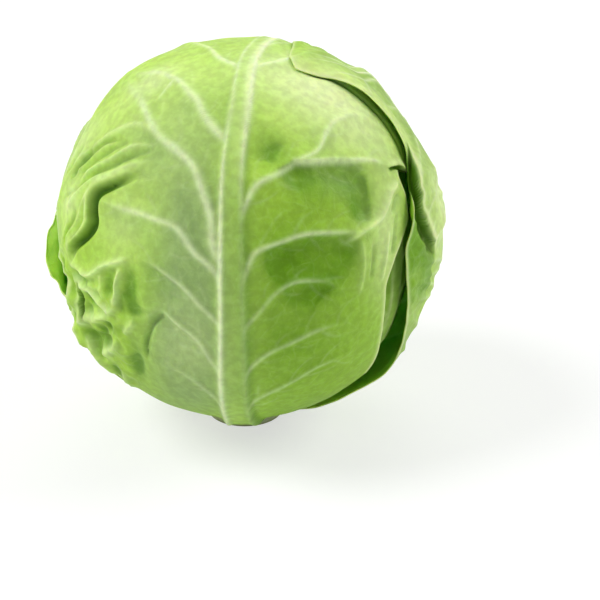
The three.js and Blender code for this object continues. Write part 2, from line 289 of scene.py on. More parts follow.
def from_line(points, line, reach=14.0):
    """For each point, in mm: its distance from the line, signed to be positive on the line's left
    as seen from outside, and how far along the line the nearest place is, from 0 to 1. Points
    beyond reach are left at a large distance."""
    distance = np.full(len(points), 1e3)
    share = np.zeros(len(points))
    middle = line.mean(axis=0)
    radius = np.linalg.norm(line - middle, axis=1).max() + reach
    near = np.flatnonzero(np.abs(points - middle).max(axis=1) < radius)
    p = points[near]
    best, where = np.full(len(p), 1e3), np.zeros(len(p))
    steps = np.linalg.norm(np.diff(line, axis=0), axis=1)
    before = np.concatenate([[0], np.cumsum(steps)]) / steps.sum()
    for k in range(len(line) - 1):
        edge = line[k + 1] - line[k]
        gap = p - line[k]
        t = np.clip(gap @ edge / (edge @ edge), 0, 1)
        away = gap - t[:, None] * edge
        d = np.sqrt(np.einsum("ij,ij->i", away, away))
        side = np.where(away @ np.cross(line[k], edge) >= 0, 1.0, -1.0)
        closer = d < np.abs(best)
        best = np.where(closer, d * side, best)
        where = np.where(closer, before[k] + t * (before[k + 1] - before[k]), where)
    distance[near], share[near] = best, where
    return distance, share


test = trace(0, [(90, -10), (120, -20), (150, -25)])
print("a line of", len(test), "points; its ends are off it by", from_line(test[[0, -1]], test)[0])

# %% [markdown]
# ## Leaf shapes
#
# A leaf is listed with its place round the stem, its level, and its outline as rows of along,
# left edge, midrib and right edge. Loose margins flare away from the head, and broad bulges and
# hollows keep the head from looking turned on a lathe.

# %% The outer leaves
OUTER_LEAVES = {
    "wrapper_leaf_right": {
        "azimuth": 112,
        "level": 5.2,
        "shape": [
            [12, -11, 0, 11], [30, -30, 0, 38], [50, -41, 0, 50], [64, -49, 0, 56],
            [76, -54, 0, 60], [88, -56.5, 0, 63], [98, -56.5, 0, 63], [106, -55, 0, 61],
            [113, -52, -0.5, 58], [119, -48, -1, 54], [123, -44, -1.5, 51], [127, -39, -2, 48],
            [132, -34, -3, 44], [138, -28.5, -4, 39], [144, -25.5, -5, 32], [151, -22, -6.3, 22],
            [158, -18.8, -8, 12], [164, -18, -10, 0], [168, -17, -12, -7], [170, -16, -13, -11],
        ],
        "flares": [(-1, 112, 163, 8, 1.2), (1, 84, 138, 11, 3)],
        "bulges": [
            (74, -50, 26, 22, -3), (92, -22, 8, 12, 2.4), (106, -33, 19, 10, 3.4),
            (108, -55, 15, 10, -2.4), (132, -10, 14, 16, -1.6), (133, 3, 16, 14, -2.4),
            (145, 25, 22, 23, -3.4), (160, -11, 15, 14, -1.6), (172, -11, 16, 16, -1.5),
        ],
    },
    "wrapper_leaf_left": {
        "azimuth": 232,
        "level": 2.8,
        "shape": [
            [12, -11, 0, 11], [30, -36, 0, 34], [42, -44, 0, 42], [52, -50, 0, 50],
            [60, -53, 0, 57], [68, -57, 0, 58], [74, -59, 0, 52], [80, -60, 0, 44],
            [87, -61, 0, 34], [93, -61, 0, 20], [99, -60, -1, 9], [107, -58, -3, 3],
            [118, -53, -6, 0], [130, -45, -10, -4], [138, -36, -14, -8], [143, -29, -17, -13],
            [146, -22, -18.5, -16.5],
        ],
        "flares": [(1, 72, 101, 12, 6), (-1, 96, 150, 10, 0.8)],
        "bulges": [(92, 30, 24, 14, -2.2), (65, 48, 13, 18, -3)],
    },
    "wrapper_leaf_front": {
        "azimuth": 0,
        "level": 0.0,
        "shape": [
            [12, -11, 0, 11], [31, -44, -1, 38], [43, -52, -2, 41], [56, -60.5, -3, 44],
            [68, -63.5, -3.5, 45.5], [78, -63, -3.5, 46.5], [85, -66, -3.5, 47],
            [92, -74, -3.5, 47.5], [102, -78, -3.5, 51], [120, -80, -3.2, 57],
            [132, -80, -2.6, 55.5], [142, -78, -1.4, 49.5], [152, -72, 0, 61],
            [162, -63, 1, 59], [174, -50, 3, 45], [188, -34, 7, 33], [199, -14, 10, 23],
            [205, -3, 10.5, 17], [208, 6, 10.5, 14],
        ],
        "flares": [(-1, 36, 88, 20, 3.4)],
        "bulges": [
            (134, -44, 9, 18, 2.6), (112, -60, 13, 8, 2.4), (118, -36, 12, 14, -1),
            (138, 46, 16, 9, 1.8), (106, 24, 12, 14, -1), (154, -68, 18, 14, 1.4),
            (186, -35, 14, 20, 1.4),
        ],
    },
    "under_leaf_left": {
        "azimuth": 275,
        "level": -4.2,
        "shape": [
            [12, -11, 0, 11], [32, -43, 0, 43], [55, -61, 0, 62], [90, -72, 0, 74],
            [125, -69, 0, 70], [150, -53, 0, 55], [170, -33, 0, 35], [188, -11, 0, 11],
        ],
        "flares": [],
        "bulges": [(104, -9, 26, 10, 3.4), (140, -26, 22, 15, 1.6)],
    },
    "under_leaf_right": {
        "azimuth": 58,
        "level": -7.0,
        "shape": [
            [12, -11, 0, 11], [32, -42, 0, 43], [55, -60, 0, 61], [90, -73, 0, 72],
            [125, -70, 0, 68], [150, -55, 0, 53], [170, -35, 0, 33], [188, -11, 0, 11],
        ],
        "flares": [],
        "bulges": [(108, 3, 34, 7, 3.6)],
    },
    "under_leaf_back": {
        "azimuth": 174,
        "level": -9.8,
        "shape": [
            [12, -11, 0, 11], [32, -42, 0, 42], [55, -60, 0, 60], [90, -72, 0, 72],
            [125, -69, 0, 69], [150, -54, 0, 54], [170, -34, 0, 34], [188, -11, 0, 11],
        ],
        "flares": [],
        "bulges": [],
    },
}
for leaf in OUTER_LEAVES.values():
    leaf["shape"] = np.array(leaf["shape"], float)
print(len(OUTER_LEAVES), "outer leaves")

# %% The grid of a leaf
STEM_CUT_RADIUS, STEM_TOP_RADIUS, STEM_NECK, STEM_TOP = 18.0, 7.0, 4.0, 78.0


def stem_radius(height):
    """The stem's radius: even up to its neck, then a straight taper."""
    x = np.clip((height - STEM_NECK) / (STEM_TOP - STEM_NECK), 0, 1)
    return STEM_CUT_RADIUS + (STEM_TOP_RADIUS - STEM_CUT_RADIUS) * x


def plain_radius(leaf, along, across):
    """The radius of a leaf's outer face before any detail: the head, the leaf's level, the flares
    that lift its edges and its broad bulges."""
    radius = body_radius(direction(leaf["azimuth"], along, across)) + leaf["level"]
    for side, start, end, width, lift in leaf["flares"]:
        edge = side * shape_at(leaf["shape"], 1 if side < 0 else 3, along)
        inwards = ease((side * across - edge + width) / width)
        radius = radius + lift * inwards**2 * ease((along - start) / 14) * ease((end - along) / 14)
    for at_along, at_across, reach_along, reach_across, lift in leaf["bulges"]:
        near = bell((along - at_along) / reach_along) * bell((across - at_across) / reach_across)
        radius = radius + lift * near
    return radius


def spread(count, crowds):
    """Shares from 0 to 1 that lie closer together round each crowd (centre, reach, how much). Their
    density is 1 plus a bell for each crowd, and its running sum is read backwards."""
    x = np.linspace(0, 1, 2001)
    density = 1 + sum((much * bell((x - centre) / reach) for centre, reach, much in crowds), 0 * x)
    total = np.concatenate([[0], np.cumsum((density[1:] + density[:-1]) / 2)])
    return np.interp(np.linspace(0, total[-1], count), total, x)


def leaf_grid(leaf, rows, columns):
    """Angles along and across of a leaf's grid. The base row runs round the stem, so rows near it
    bend to meet it."""
    base = 13.0
    for _ in range(8):
        reach = float(plain_radius(leaf, np.array(base), np.array(0.0))) - 1.5
        height = CENTRE_HEIGHT - reach * math.cos(math.radians(base))
        base = math.degrees(math.asin((stem_radius(height) + 0.3) / reach))
    v = spread(rows, leaf.get("row_crowds", []))[:, None]
    u = spread(columns, leaf.get("column_crowds", []))[None, :]
    along = base + (leaf["shape"][-1, 0] - base) * v
    left, right = (shape_at(leaf["shape"], column, along) for column in (1, 3))
    across = left + (right - left) * u
    bent = np.radians(np.minimum(np.abs(across[:1]), 0.9 * base))
    clasp = base - np.degrees(np.arccos(math.cos(math.radians(base)) / np.cos(bent)))
    return along - clasp * (1 - v) ** 6, across


grid = leaf_grid(OUTER_LEAVES["wrapper_leaf_front"], 9, 7)
print("base row of the front leaf, along", grid[0][0].round(1), "across", grid[1][0].round(1))

# %% [markdown]
# ## From two faces to one closed leaf
#
# A leaf's outer face needs a fine grid for its veins and folds. Its inner face is hardly seen, so
# it takes every second or third point. Along the rim, each edge of the inner grid meets several
# edges of the outer one in a single many-sided face, and the sheet is closed without a gap.

# %% A closed sheet


def lowest_nearby(values, reach):
    """The lowest value within reach cells of each one, down the columns and then along the rows."""
    for axis in (0, 1):
        size = values.shape[axis]
        pad = [(reach, reach) if k == axis else (0, 0) for k in (0, 1)]
        wide = np.pad(values, pad, mode="edge")
        shifted = [np.take(wide, range(k, k + size), axis) for k in range(2 * reach + 1)]
        values = np.min(shifted, axis=0)
    return values


def grid_normals(outer, rounds):
    """The outward normals of a grid of points, from its steps along rows and columns, averaged
    with their neighbours a number of times."""
    normals = np.cross(np.gradient(outer, axis=1), np.gradient(outer, axis=0))
    for _ in range(rounds):
        for axis in (0, 1):
            pad = [(1, 1) if k == axis else (0, 0) for k in range(3)]
            wide, size = np.pad(normals, pad, mode="edge"), normals.shape[axis]
            before, after = (np.take(wide, range(k, k + size), axis) for k in (0, 2))
            normals = (before + 2 * normals + after) / 4
    return normals / np.linalg.norm(normals, axis=-1, keepdims=True)


def closed_sheet(name, outer, inner, masks, step):
    """A mesh object from an outer grid of points and an inner one that has every step-th point.
    masks are values on the outer grid, kept as attributes, and "inside" marks the inner face."""
    rows, columns = outer.shape[:2]
    few_rows, few_columns = inner.shape[:2]
    out = np.arange(rows * columns).reshape(rows, columns)
    back = rows * columns + np.arange(few_rows * few_columns).reshape(few_rows, few_columns)

    def quads(g, flip):
        corners = [g[:-1, :-1], g[:-1, 1:], g[1:, 1:], g[1:, :-1]]
        return np.stack(corners[::-1] if flip else corners, axis=-1).reshape(-1, 4)

    def rim(fine, coarse):
        """Faces between an edge of the outer grid, in order, and the same edge of the inner one."""
        runs = [fine[k : len(fine) - step + k : step] for k in range(step + 1)]
        return np.column_stack([coarse[:-1], coarse[1:], *runs[::-1]])

    rims = [
        rim(out[0], back[0]),
        rim(out[:, -1], back[:, -1]),
        rim(out[-1, ::-1], back[-1, ::-1]),
        rim(out[::-1, 0], back[::-1, 0]),
    ]
    points = np.vstack([outer.reshape(-1, 3), inner.reshape(-1, 3)]) / 1000
    faces = [quads(out, False), quads(back, True), *rims]
    mesh = bpy.data.meshes.new(name)
    mesh.from_pydata(points, [], [face for block in faces for face in block.tolist()])
    mesh.shade_smooth()
    masks = dict(masks, inside=np.zeros((rows, columns)))
    for key, values in masks.items():
        behind = np.ones((few_rows, few_columns)) if key == "inside" else values[::step, ::step]
        layer = mesh.attributes.new(key, "FLOAT", "POINT")
        layer.data.foreach_set("value", np.concatenate([values.ravel(), behind.ravel()]))
    made = bpy.data.objects.new(name, mesh)
    bpy.context.collection.objects.link(made)
    return made


flat = np.dstack([*np.meshgrid(range(4), range(3)), np.zeros((3, 4))])
print("a flat grid faces", grid_normals(flat, 1)[0, 0])

# %% [markdown]
# ## Ribs and veins
#
# Seen from outside, a cabbage leaf shows the face on which its veins stand out. The midrib is
# broad, with two pale crests and a shallow trough between them. Side veins leave it at a slant,
# curve up towards the tip and fork, and finer twigs leave those. The blade sinks between them.
# The relief is worked out from the distance to each line, rather than modelled with tubes, so a
# vein grows out of the blade without a seam.

# %% Relief of veins


def midrib_relief(leaf, along, across, height, width):
    """The midrib's height, its mask, the mask of its crests, and how far out each point is in
    half-widths. Its section is flat-topped with soft shoulders, and a narrow crest runs along each
    side of the top. height and width are (low end, tip) in mm, and the rib widens at the stem."""
    rib = shape_at(leaf["shape"], 2, along)
    off = (across - rib) * np.cos(np.radians(across)) * DEGREE
    way = ease((along - 15) / 165)
    half = width[0] / 2 + (width[1] - width[0]) / 2 * way
    half = half * (1 + 0.5 * ease((46 - along) / 34))
    tall = height[0] + (height[1] - height[0]) * way
    ends = ease((along - 6) / 10) * ease((leaf["shape"][-1, 0] - along) / 30)
    x = np.abs(off) / half
    top = 1 - ease((x - 0.5) / 0.75)
    crest = bell((x - 0.72) / 0.18)
    return ends * tall * (0.7 * top + 0.3 * crest), ends * top, ends * crest, off / half


def line_relief(points, azimuth, lines):
    """The combined height and mask of many ridges, and the distance to the nearest. Each line is
    (places, widths, heights), with the width and height at its start and its end. A ridge's
    section is a narrow bell on a wide one, and where two ridges meet the taller one shows."""
    height, mask = np.zeros(len(points)), np.zeros(len(points))
    nearest = np.full(len(points), 1e3)
    for places, widths, heights in lines:
        distance, share = from_line(points, trace(azimuth, places), reach=20)
        distance = np.abs(distance)
        width = widths[0] + (widths[1] - widths[0]) * share
        tall = heights[0] + (heights[1] - heights[0]) * share
        fade = ease((1 - share) / 0.3)
        section = 0.6 * bell(distance / width) + 0.4 * bell(distance / (2.6 * width))
        height = np.maximum(height, tall * section * (0.3 + 0.7 * fade))
        mask = np.maximum(mask, bell(distance / width) * np.minimum(1, 0.35 + 0.7 * tall) * fade)
        nearest = np.minimum(nearest, distance / np.clip(tall, 0.3, 1))
    return height, np.clip(mask, 0, 1), nearest


def twigs(lines, spacing, length, seed):
    """Fine veins that leave others on alternate sides. From places about spacing mm apart along
    each line, a twig sets off at 40 to 65 degrees to it and turns a little towards its end."""
    draw = np.random.default_rng(seed)
    made = []
    for places, widths, heights in lines:
        p = np.array(places, float)
        shrink = np.cos(np.radians(p[:, 1])).mean()
        flat = p * DEGREE * [shrink, 1]
        steps = np.linalg.norm(np.diff(flat, axis=0), axis=1)
        total = np.concatenate([[0], np.cumsum(steps)])
        side = 1
        for at in np.arange(draw.uniform(0.4, 1) * spacing, total[-1] - 2, spacing / 2):
            here = np.array([np.interp(at, total, flat[:, k]) for k in (0, 1)])
            ahead = np.array([np.interp(at + 1, total, flat[:, k]) for k in (0, 1)])
            heading = math.atan2(*(ahead - here)[::-1])
            heading += side * math.radians(draw.uniform(40, 65))
            bend = -side * math.radians(draw.uniform(8, 26))
            reach = length * draw.uniform(0.6, 1.2)
            twig = [here]
            for _ in range(3):
                twig.append(twig[-1] + reach / 3 * np.array([math.cos(heading), math.sin(heading)]))
                heading += bend
            width = draw.uniform(0.55, 0.85)
            tall = draw.uniform(0.16, 0.34)
            way = np.array(twig) / (DEGREE * np.array([shrink, 1]))
            made.append((way, (width, 0.4), (tall, 0.04)))
            side = -side
    return made


VEIN_RISE = 34  # degrees that a side vein climbs along the leaf
VEIN_END = 0.94  # the share of the way to the margin where it ends
FORK_STEP = 3  # its fork leaves at this one of its eight places, counted from 0


def side_veins(leaf, starts, seed):
    """Side veins for a leaf that has no special ones. From each start along the midrib, one runs
    to each side: across goes evenly from the rib to near the edge while along rises, fast at
    first. A fork leaves each at two fifths of its way and rises less."""
    draw = np.random.default_rng(seed)
    lines = []
    for start in starts:
        for column in (1, 3):
            begin = start + draw.uniform(-3, 3)
            x = np.linspace(0, 1, 8)
            climb = VEIN_RISE * draw.uniform(0.85, 1.15)
            along = begin + climb * x**0.8
            root = shape_at(leaf["shape"], 2, begin)
            edge = shape_at(leaf["shape"], column, along) * VEIN_END
            across = root + (edge - root) * x ** draw.uniform(0.95, 1.15)
            lines.append((np.column_stack([along, across]), (1.4, 0.7), (0.85, 0.25)))
            y = np.linspace(0, 1, 6)
            turn = climb * draw.uniform(-0.15, 0.2)
            fork_along = along[FORK_STEP] + turn * y
            fork_edge = shape_at(leaf["shape"], column, fork_along) * VEIN_END
            fork_across = across[FORK_STEP] + (fork_edge - across[FORK_STEP]) * y
            lines.append((np.column_stack([fork_along, fork_across]), (1.0, 0.6), (0.5, 0.15)))
    return lines


def edge_distance(leaf, along, across):
    """Roughly how far a place is from the leaf's margin, in mm."""
    left, right = shape_at(leaf["shape"], 1, along), shape_at(leaf["shape"], 3, along)
    sideways = np.minimum(across - left, right - across)
    upwards = (leaf["shape"][-1, 0] - along) * np.cos(np.radians(across))
    return np.minimum(sideways, upwards) * DEGREE


test = side_veins(OUTER_LEAVES["under_leaf_back"], (60, 90), 0)
print("two places on a rib carry", len(test), "lines, forks counted")


# %% [markdown]
# ## Building a leaf
#
# Every leaf goes through the same steps. Its grid gives the plain surface, and the reliefs are
# added outwards from the head. The wall is thin at the margin and thicker inside it. A Solidify
# modifier would fold over itself in the tight pleats, so the inner face is worked out here. Masks
# such as "vein" and "crease" stay on the mesh for the materials to use.

# %% One leaf
LEAF_WALL, LEAF_RIM = 1.4, 0.5  # mm of an outer leaf's blade, and of its margin
MARGIN_WIDTH = 9.0  # mm from the margin over which the wall thickens
SQUEEZE_FROM, SQUEEZE = 1.0, 0.96  # mm before the box's side, and mm that are left of it


def held_inside(points):
    """Points in mm, kept inside the solid model's box: the outermost millimetre before each of its
    sides is squeezed smoothly, so that no ruffle stands out past it."""
    low, high = 1000 * np.array(model_box)
    above = np.maximum(points - high + SQUEEZE_FROM, 0)
    below = np.maximum(low + SQUEEZE_FROM - points, 0)
    squeezed = [SQUEEZE * (1 - np.exp(-x / SQUEEZE)) for x in (above, below)]
    return points - above + squeezed[0] + below - squeezed[1]


def build_leaf(
    name, leaf, rows, columns, detail, step=2, thickness=LEAF_WALL, rim=LEAF_RIM, free=False
):
    """A closed leaf. detail(leaf, along, across, points) gives the lift in mm, a sideways slide in
    mm as vectors, and masks. The inner face lies a thickness in from the lowest place nearby, or,
    for a free leaf, a thickness behind the outer face along its normals."""
    along, across = leaf_grid(leaf, rows, columns)
    d = direction(leaf["azimuth"], along, across)
    points = (CHART_RADIUS * d).reshape(-1, 3)
    lift, slide, masks = detail(leaf, along.ravel(), across.ravel(), points)
    radius = plain_radius(leaf, along, across) + lift.reshape(along.shape)
    outer = d * radius[..., None] + slide.reshape(d.shape)
    edge = np.clip(edge_distance(leaf, along, across), 0, None)
    wall = rim + (thickness - rim) * ease(edge / MARGIN_WIDTH)
    if free:
        inner = outer - grid_normals(outer, 6) * wall[..., None]
    else:
        settled = ease(edge / 4)
        under = radius + (lowest_nearby(radius, 3) - radius) * settled - wall
        inner = d * under[..., None] + slide.reshape(d.shape) * (1 - settled)[..., None]
    centre = np.array([0, 0, CENTRE_HEIGHT])
    leaf["laid"] = along[:, 0].min(), radius
    grids = {key: values.reshape(along.shape) for key, values in masks.items()}
    grids["margin"] = bell(edge / 1.6)
    outer, inner = held_inside(outer + centre), held_inside(inner[::step, ::step] + centre)
    made = closed_sheet(name + "_surface", outer, inner, grids, step)
    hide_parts(name)
    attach(made, "root")
    return made


EDGE_FADE = 8.0  # degrees past a leaf's edge within which it stops bearing what lies on it


def laid_radius(leaf, directions, rows, columns):
    """The outer radius of a leaf already built, under each direction, and how far inside that leaf
    the place is: 1 over it, fading to 0 a little past its edge. rows and columns are the shares
    its grid was spread by, and values are read between the grid's points."""
    z = math.radians(leaf["azimuth"])
    side = directions @ [math.cos(z), math.sin(z), 0]
    out = directions @ [math.sin(z), -math.cos(z), 0]
    across = np.degrees(np.arcsin(np.clip(side, -1, 1)))
    along = np.degrees(np.arctan2(out, -directions[:, 2])) % 360
    left, right = (shape_at(leaf["shape"], column, along) for column in (1, 3))
    start, radius = leaf["laid"]
    end = leaf["shape"][-1, 0]
    i = np.interp((along - start) / (end - start), rows, np.arange(len(rows)))
    j = np.interp((across - left) / (right - left), columns, np.arange(len(columns)))
    low_i, low_j = i.astype(int), j.astype(int)
    high_i = np.minimum(low_i + 1, len(rows) - 1)
    high_j = np.minimum(low_j + 1, len(columns) - 1)
    i, j = i - low_i, j - low_j
    lower = radius[low_i, low_j] * (1 - j) + radius[low_i, high_j] * j
    upper = radius[high_i, low_j] * (1 - j) + radius[high_i, high_j] * j
    beyond = np.max([left - across, across - right, along - end, 0 * along], axis=0)
    return lower * (1 - i) + upper * i, 1 - ease(beyond / EDGE_FADE)


def common_detail(leaf, along, across, points, rib_size, lines, fine, sink, uneven, seed):
    """What every leaf has: the midrib, side veins and their twigs, a blade that sinks between the
    main ones, and unevenness. Returns the lift, the masks and the nudged points."""
    near = nudged(points, 22, 0.5, seed + 2)
    rib, rib_mask, crest, off = midrib_relief(leaf, along, across, *rib_size)
    veins, vein_mask, nearest = line_relief(near, leaf["azimuth"], lines)
    small, small_mask, _ = line_relief(near, leaf["azimuth"], fine) if fine else (0, 0, 0)
    nearest = np.minimum(nearest, np.abs(np.abs(off) - 1) * 5 + 2)
    valley = sink * (1 - bell(nearest / 7)) * (1 - rib_mask)
    lift = np.maximum(rib, np.maximum(veins, small) * (1 - rib_mask)) - valley
    lift = lift + uneven * (ripple(points, 38, seed) + 0.25 * ripple(near, 13, seed + 1))
    masks = {
        "vein": np.maximum(vein_mask, 0.35 * small_mask) * (1 - rib_mask),
        "rib": rib_mask,
        "crest": crest,
    }
    return lift, masks, near


far_out = np.array([0, -1000 * model_box[1][0] - 9, CENTRE_HEIGHT])
print("a point at", far_out.round(1), "is held at", held_inside(far_out).round(1))


# %% [markdown]
# ## The front leaf
#
# The big leaf at the front has a midrib up its middle and strong veins. On its left it is folded
# into a pleat whose lip hangs over a dark crease, with wrinkles fanning out above it, and its
# lower left part is crumpled. On its right the blade drops below the veins, and a short tear
# splits the margin. Each of these is a line over the leaf with a few places, since such folds
# are what makes one leaf different from the next.

# %% Veins and wrinkles of the front leaf
FRONT_VEINS = [  # places, (width at the start, at the end), (height at the start, at the end)
    ([(141, -4), (147.8, -10), (153.7, -11.5), (159.6, -15), (164.9, -17.7), (169.4, -21.1),
      (176, -28.4), (184, -33)], (1.7, 1.1), (1.0, 0.5)),
    ([(164.9, -17.7), (160.6, -20.9), (157, -24)], (1.1, 0.7), (0.5, 0.2)),
    ([(104, -5), (112, -8), (121, -9), (130, -11.5), (133.7, -13.3), (137.9, -16.7),
      (142.7, -20.9), (148.8, -24.3), (159.7, -28.2), (170.9, -31.2), (181.8, -33.2)],
     (2.0, 1.3), (1.2, 0.6)),
    ([(98, -5), (104, -8), (109, -12.5), (111.6, -14.6), (116.8, -19.1), (119.7, -24.7),
      (121.5, -30.3), (123.5, -34.5), (126.1, -39), (128.6, -43.1)], (1.5, 1.3), (0.8, 0.7)),
    ([(84, -5), (90, -9), (96.5, -14.8), (100.5, -19.9), (104.8, -25.6), (106.3, -31.3)],
     (1.4, 1.0), (0.55, 0.3)),
    ([(68, -5), (75, -9), (81.1, -13.7), (85.6, -18.5), (89.8, -23.9), (90, -29.7)],
     (1.3, 0.9), (0.35, 0.2)),
    ([(52, -5), (60, -10), (66, -16), (70, -22)], (1.3, 0.8), (0.25, 0.1)),
    ([(158, 0), (165.8, 3.4), (170.6, 10.1), (179.4, 17.9), (190, 24.8)], (1.4, 1.0), (0.9, 0.5)),
    ([(116, -2), (122, 0.5), (127.9, 3.7), (131, 10.2), (135.2, 15.7), (138.6, 19.9),
      (143.4, 22.3), (149.1, 25.6), (155.1, 31.3), (158, 38)], (1.4, 1.0), (0.8, 0.6)),
    ([(134.6, 14.5), (135.4, 19.9), (137, 25.5), (138.8, 32), (141.1, 39.3), (142, 44.5)],
     (1.4, 1.1), (1.0, 0.7)),
    ([(98, -2), (104, 0.5), (110, 4), (112.6, 11.8), (114.1, 18.2), (114.2, 26.8),
      (114.8, 33.4), (115.5, 38)], (1.1, 1.1), (0.45, 0.9)),
    ([(84, -2), (91, 3), (97, 9), (100, 16), (99.5, 24.5), (95.5, 29)], (1.1, 0.9), (0.3, 0.3)),
    ([(68, -2), (75, 4), (80, 12), (83, 20), (84, 30)], (1.3, 0.8), (0.3, 0.15)),
    ([(50, -2), (58, 4), (64, 12), (68, 22), (70, 32)], (1.3, 0.8), (0.25, 0.1)),
    ([(166, 0), (173.6, -6.6), (183, -10), (192.1, -13.3), (198, -17)], (1.4, 0.8), (0.9, 0.4)),
    ([(178, 5), (184, 10), (192, 15), (199, 19)], (1.1, 0.7), (0.6, 0.3)),
]
FRONT_WRINKLES = [  # places, half-width in mm, height in mm
    ([(144, -21), (150.1, -27.1), (152.7, -32), (153.1, -37.8), (153, -43.5), (154.4, -50.7),
      (157, -58)], 1.5, 1.5),
    ([(147, -34), (149.8, -36.5), (150.8, -40.5), (151.6, -45.6), (152.5, -54)], 1.1, -1.7),
    ([(149, -36), (148.9, -41.4), (149.3, -47), (149.5, -56)], 1.0, 1.2),
    ([(146.9, -31), (146.6, -37.4), (145.7, -43.1), (146.8, -54)], 1.1, -1.5),
    ([(142.4, -25.3), (143.6, -29.8), (143.4, -34.6), (142.3, -38.7), (141.8, -43.2), (142.9, -53)],
     1.2, 1.8),
    ([(140.9, -23.6), (140.1, -29.8), (140.2, -33.9), (139.3, -38.8), (138.8, -50)], 1.3, -1.9),
    ([(136.9, -24), (137.2, -30), (137, -36.6), (137, -44.5), (136, -52.9), (133, -59.2),
      (127, -64)], 1.4, 1.3),
    ([(139.8, -46), (139.1, -55.8), (141.9, -65.4)], 1.2, -1.2),
    ([(131, -54), (125, -58), (117, -63), (108, -67)], 1.2, -1.2),
    ([(154, -45), (152.5, -49), (151.5, -54), (148, -59)], 1.4, -2.0),
    ([(131.5, -47.5), (127, -50.5), (122, -52.5), (116.5, -56), (111, -60.5)], 0.9, -0.9),
    ([(133, -45), (129, -51), (123, -55), (117, -60), (108, -64)], 1.0, 0.9),
    ([(127, -60), (119, -64), (110, -68), (100, -73)], 1.6, 1.2),
    ([(162, -50), (160, -56), (156, -62)], 1.6, -1.2),
    ([(95.6, -66), (97.3, -58.4), (96.3, -52.1), (99.6, -47.5), (102.2, -44.4), (105.3, -38.5),
      (106.5, -33)], 1.7, 2.6),
    ([(103.5, -37.8), (97.5, -39.2), (91.3, -40), (86, -41.5)], 1.5, 2.4),
    ([(98.5, -46.3), (93, -46), (87.5, -46)], 1.3, 1.8),
    ([(91, -64), (87.5, -56.5), (87.8, -51.5), (85.3, -46.8), (84.3, -43), (87.2, -38)], 1.8, 3.0),
    ([(92, -53), (90, -49), (91.5, -45.8)], 1.0, 1.2),
    ([(50, -48), (57, -45.2), (64, -43), (71, -40.5)], 2.6, 2.2),
    ([(60, -57), (70, -54), (77, -48), (83, -42)], 2.6, 2.0),
    ([(36, -42), (44, -47), (52, -52), (60, -54)], 2.0, 1.8),
    ([(36, -36), (44, -38.5), (52, -39.5)], 1.8, 1.6),
    ([(89, -23.5), (87.8, -25.2), (84.4, -27.3), (80.1, -28.6), (73, -30.4), (66, -30)], 1.5, -2.4),
    ([(84, -33), (79, -35.5), (75, -38)], 1.6, 1.6),
    ([(110, 30), (113.5, 34), (117, 38), (121, 42), (126, 44.2), (131.2, 45.6), (139.5, 50)],
     1.5, 2.2),
    ([(112, 40.8), (104, 41), (95, 40)], 1.2, -1.0),
    ([(113.5, 36), (105.3, 37), (98.1, 36.8), (90, 35.5)], 1.2, 1.0),
    ([(118, 46), (111.9, 46.6), (103.7, 46.2), (93, 44.5)], 1.3, 1.3),
    ([(124, 49.5), (113, 50.4), (103, 50)], 1.2, -1.2),
    ([(133, 50), (128, 48), (122, 47.5)], 1.4, -1.4),
]
FRONT_DIPS = [  # along, across, reach along, reach across, depth in mm
    (95.5, -43, 4.5, 1.9, 2.2), (98.5, -35, 4.5, 2.6, 2.0), (92, -35.5, 3.5, 3, 1.6),
    (83.5, -50.5, 2.6, 2.6, 2.0), (101, -41, 2.5, 2, 1.2), (92.6, -56, 2.2, 4, 1.8),
    (88, -53, 2.4, 2.4, 1.8),
    (64.5, -45, 4.5, 3.2, 2.8), (87.5, -33.5, 2.4, 2.6, 2.2), (62, -33.5, 8, 2.4, 2.4),
    (45, -41.5, 7, 2.0, 2.2), (54, -50, 6, 2.2, 2.0), (76, -43.5, 3, 3, 1.4),
    (137.5, 9, 4, 5, 1.2), (150, -4, 8, 4, 0.5), (122, 36, 5, 4, 0.8),
]
print(len(FRONT_VEINS), "veins", len(FRONT_WRINKLES), "wrinkles", len(FRONT_DIPS), "dips")

# %% Ledges, pleats and tears of the front leaf
FRONT_LEDGES = [  # places, side that drops (1 is the left of the line), depth and reach in mm
    ([(131, 7), (134.6, 14.5), (135.4, 19.9), (137, 25.5), (138.5, 32), (139.5, 37)],
     -1, 3.0, 4.0),
    ([(110, 3), (112.6, 11.8), (114.1, 18.2), (114.2, 26.8), (114.8, 33.4), (115.5, 38)],
     -1, 3.2, 5.0),
    ([(136, 36.5), (131, 37), (125, 38.5), (118, 40)], -1, 1.8, 2.6),
    ([(97, 9), (100, 16), (99.5, 24.5), (95.5, 29)], -1, 1.4, 4.0),
    ([(140, 12), (137, 10), (133, 9.5)], -1, 0.8, 3.0),
    ([(137.9, -16.7), (142.7, -20.9), (148.8, -24.3), (156, -27)], 1, 1.1, 3.5),
    ([(119.7, -24.7), (121.5, -30.3), (126.1, -39), (128.6, -43.1)], 1, 1.0, 3.5),
    ([(96.5, -14.8), (100.5, -19.9), (104.8, -25.6), (106.3, -31.3)], 1, 1.0, 4.0),
    ([(81.1, -13.7), (85.6, -18.5), (89.8, -23.9), (90, -29.7)], 1, 0.9, 4.0),
]
FRONT_PLEAT = [
    (92.9, -68.1), (103.4, -62.1), (110.3, -57.3), (114.9, -52.7), (120, -49.1), (125.7, -47.7),
    (130, -45.5), (132.2, -42.5), (132.9, -37.5), (133.3, -33.1), (134, -29.4), (134.5, -25),
]
FRONT_SEAM = [  # where the right leaf's margin presses on this leaf, in the right leaf's angles
    (126, -38), (132, -32), (138, -26.6), (144, -23.6), (151, -20.4), (158, -17.6),
    (164, -17.4), (168.5, -17),
]
FRONT_SLIT = [(66, -53), (70.5, -55.8), (76, -56.8), (81, -56.8), (86, -58.8), (90, -61)]
FRONT_TEAR = [(140.2, 43), (141.5, 45), (144.5, 49), (146, 53), (147, 57)]
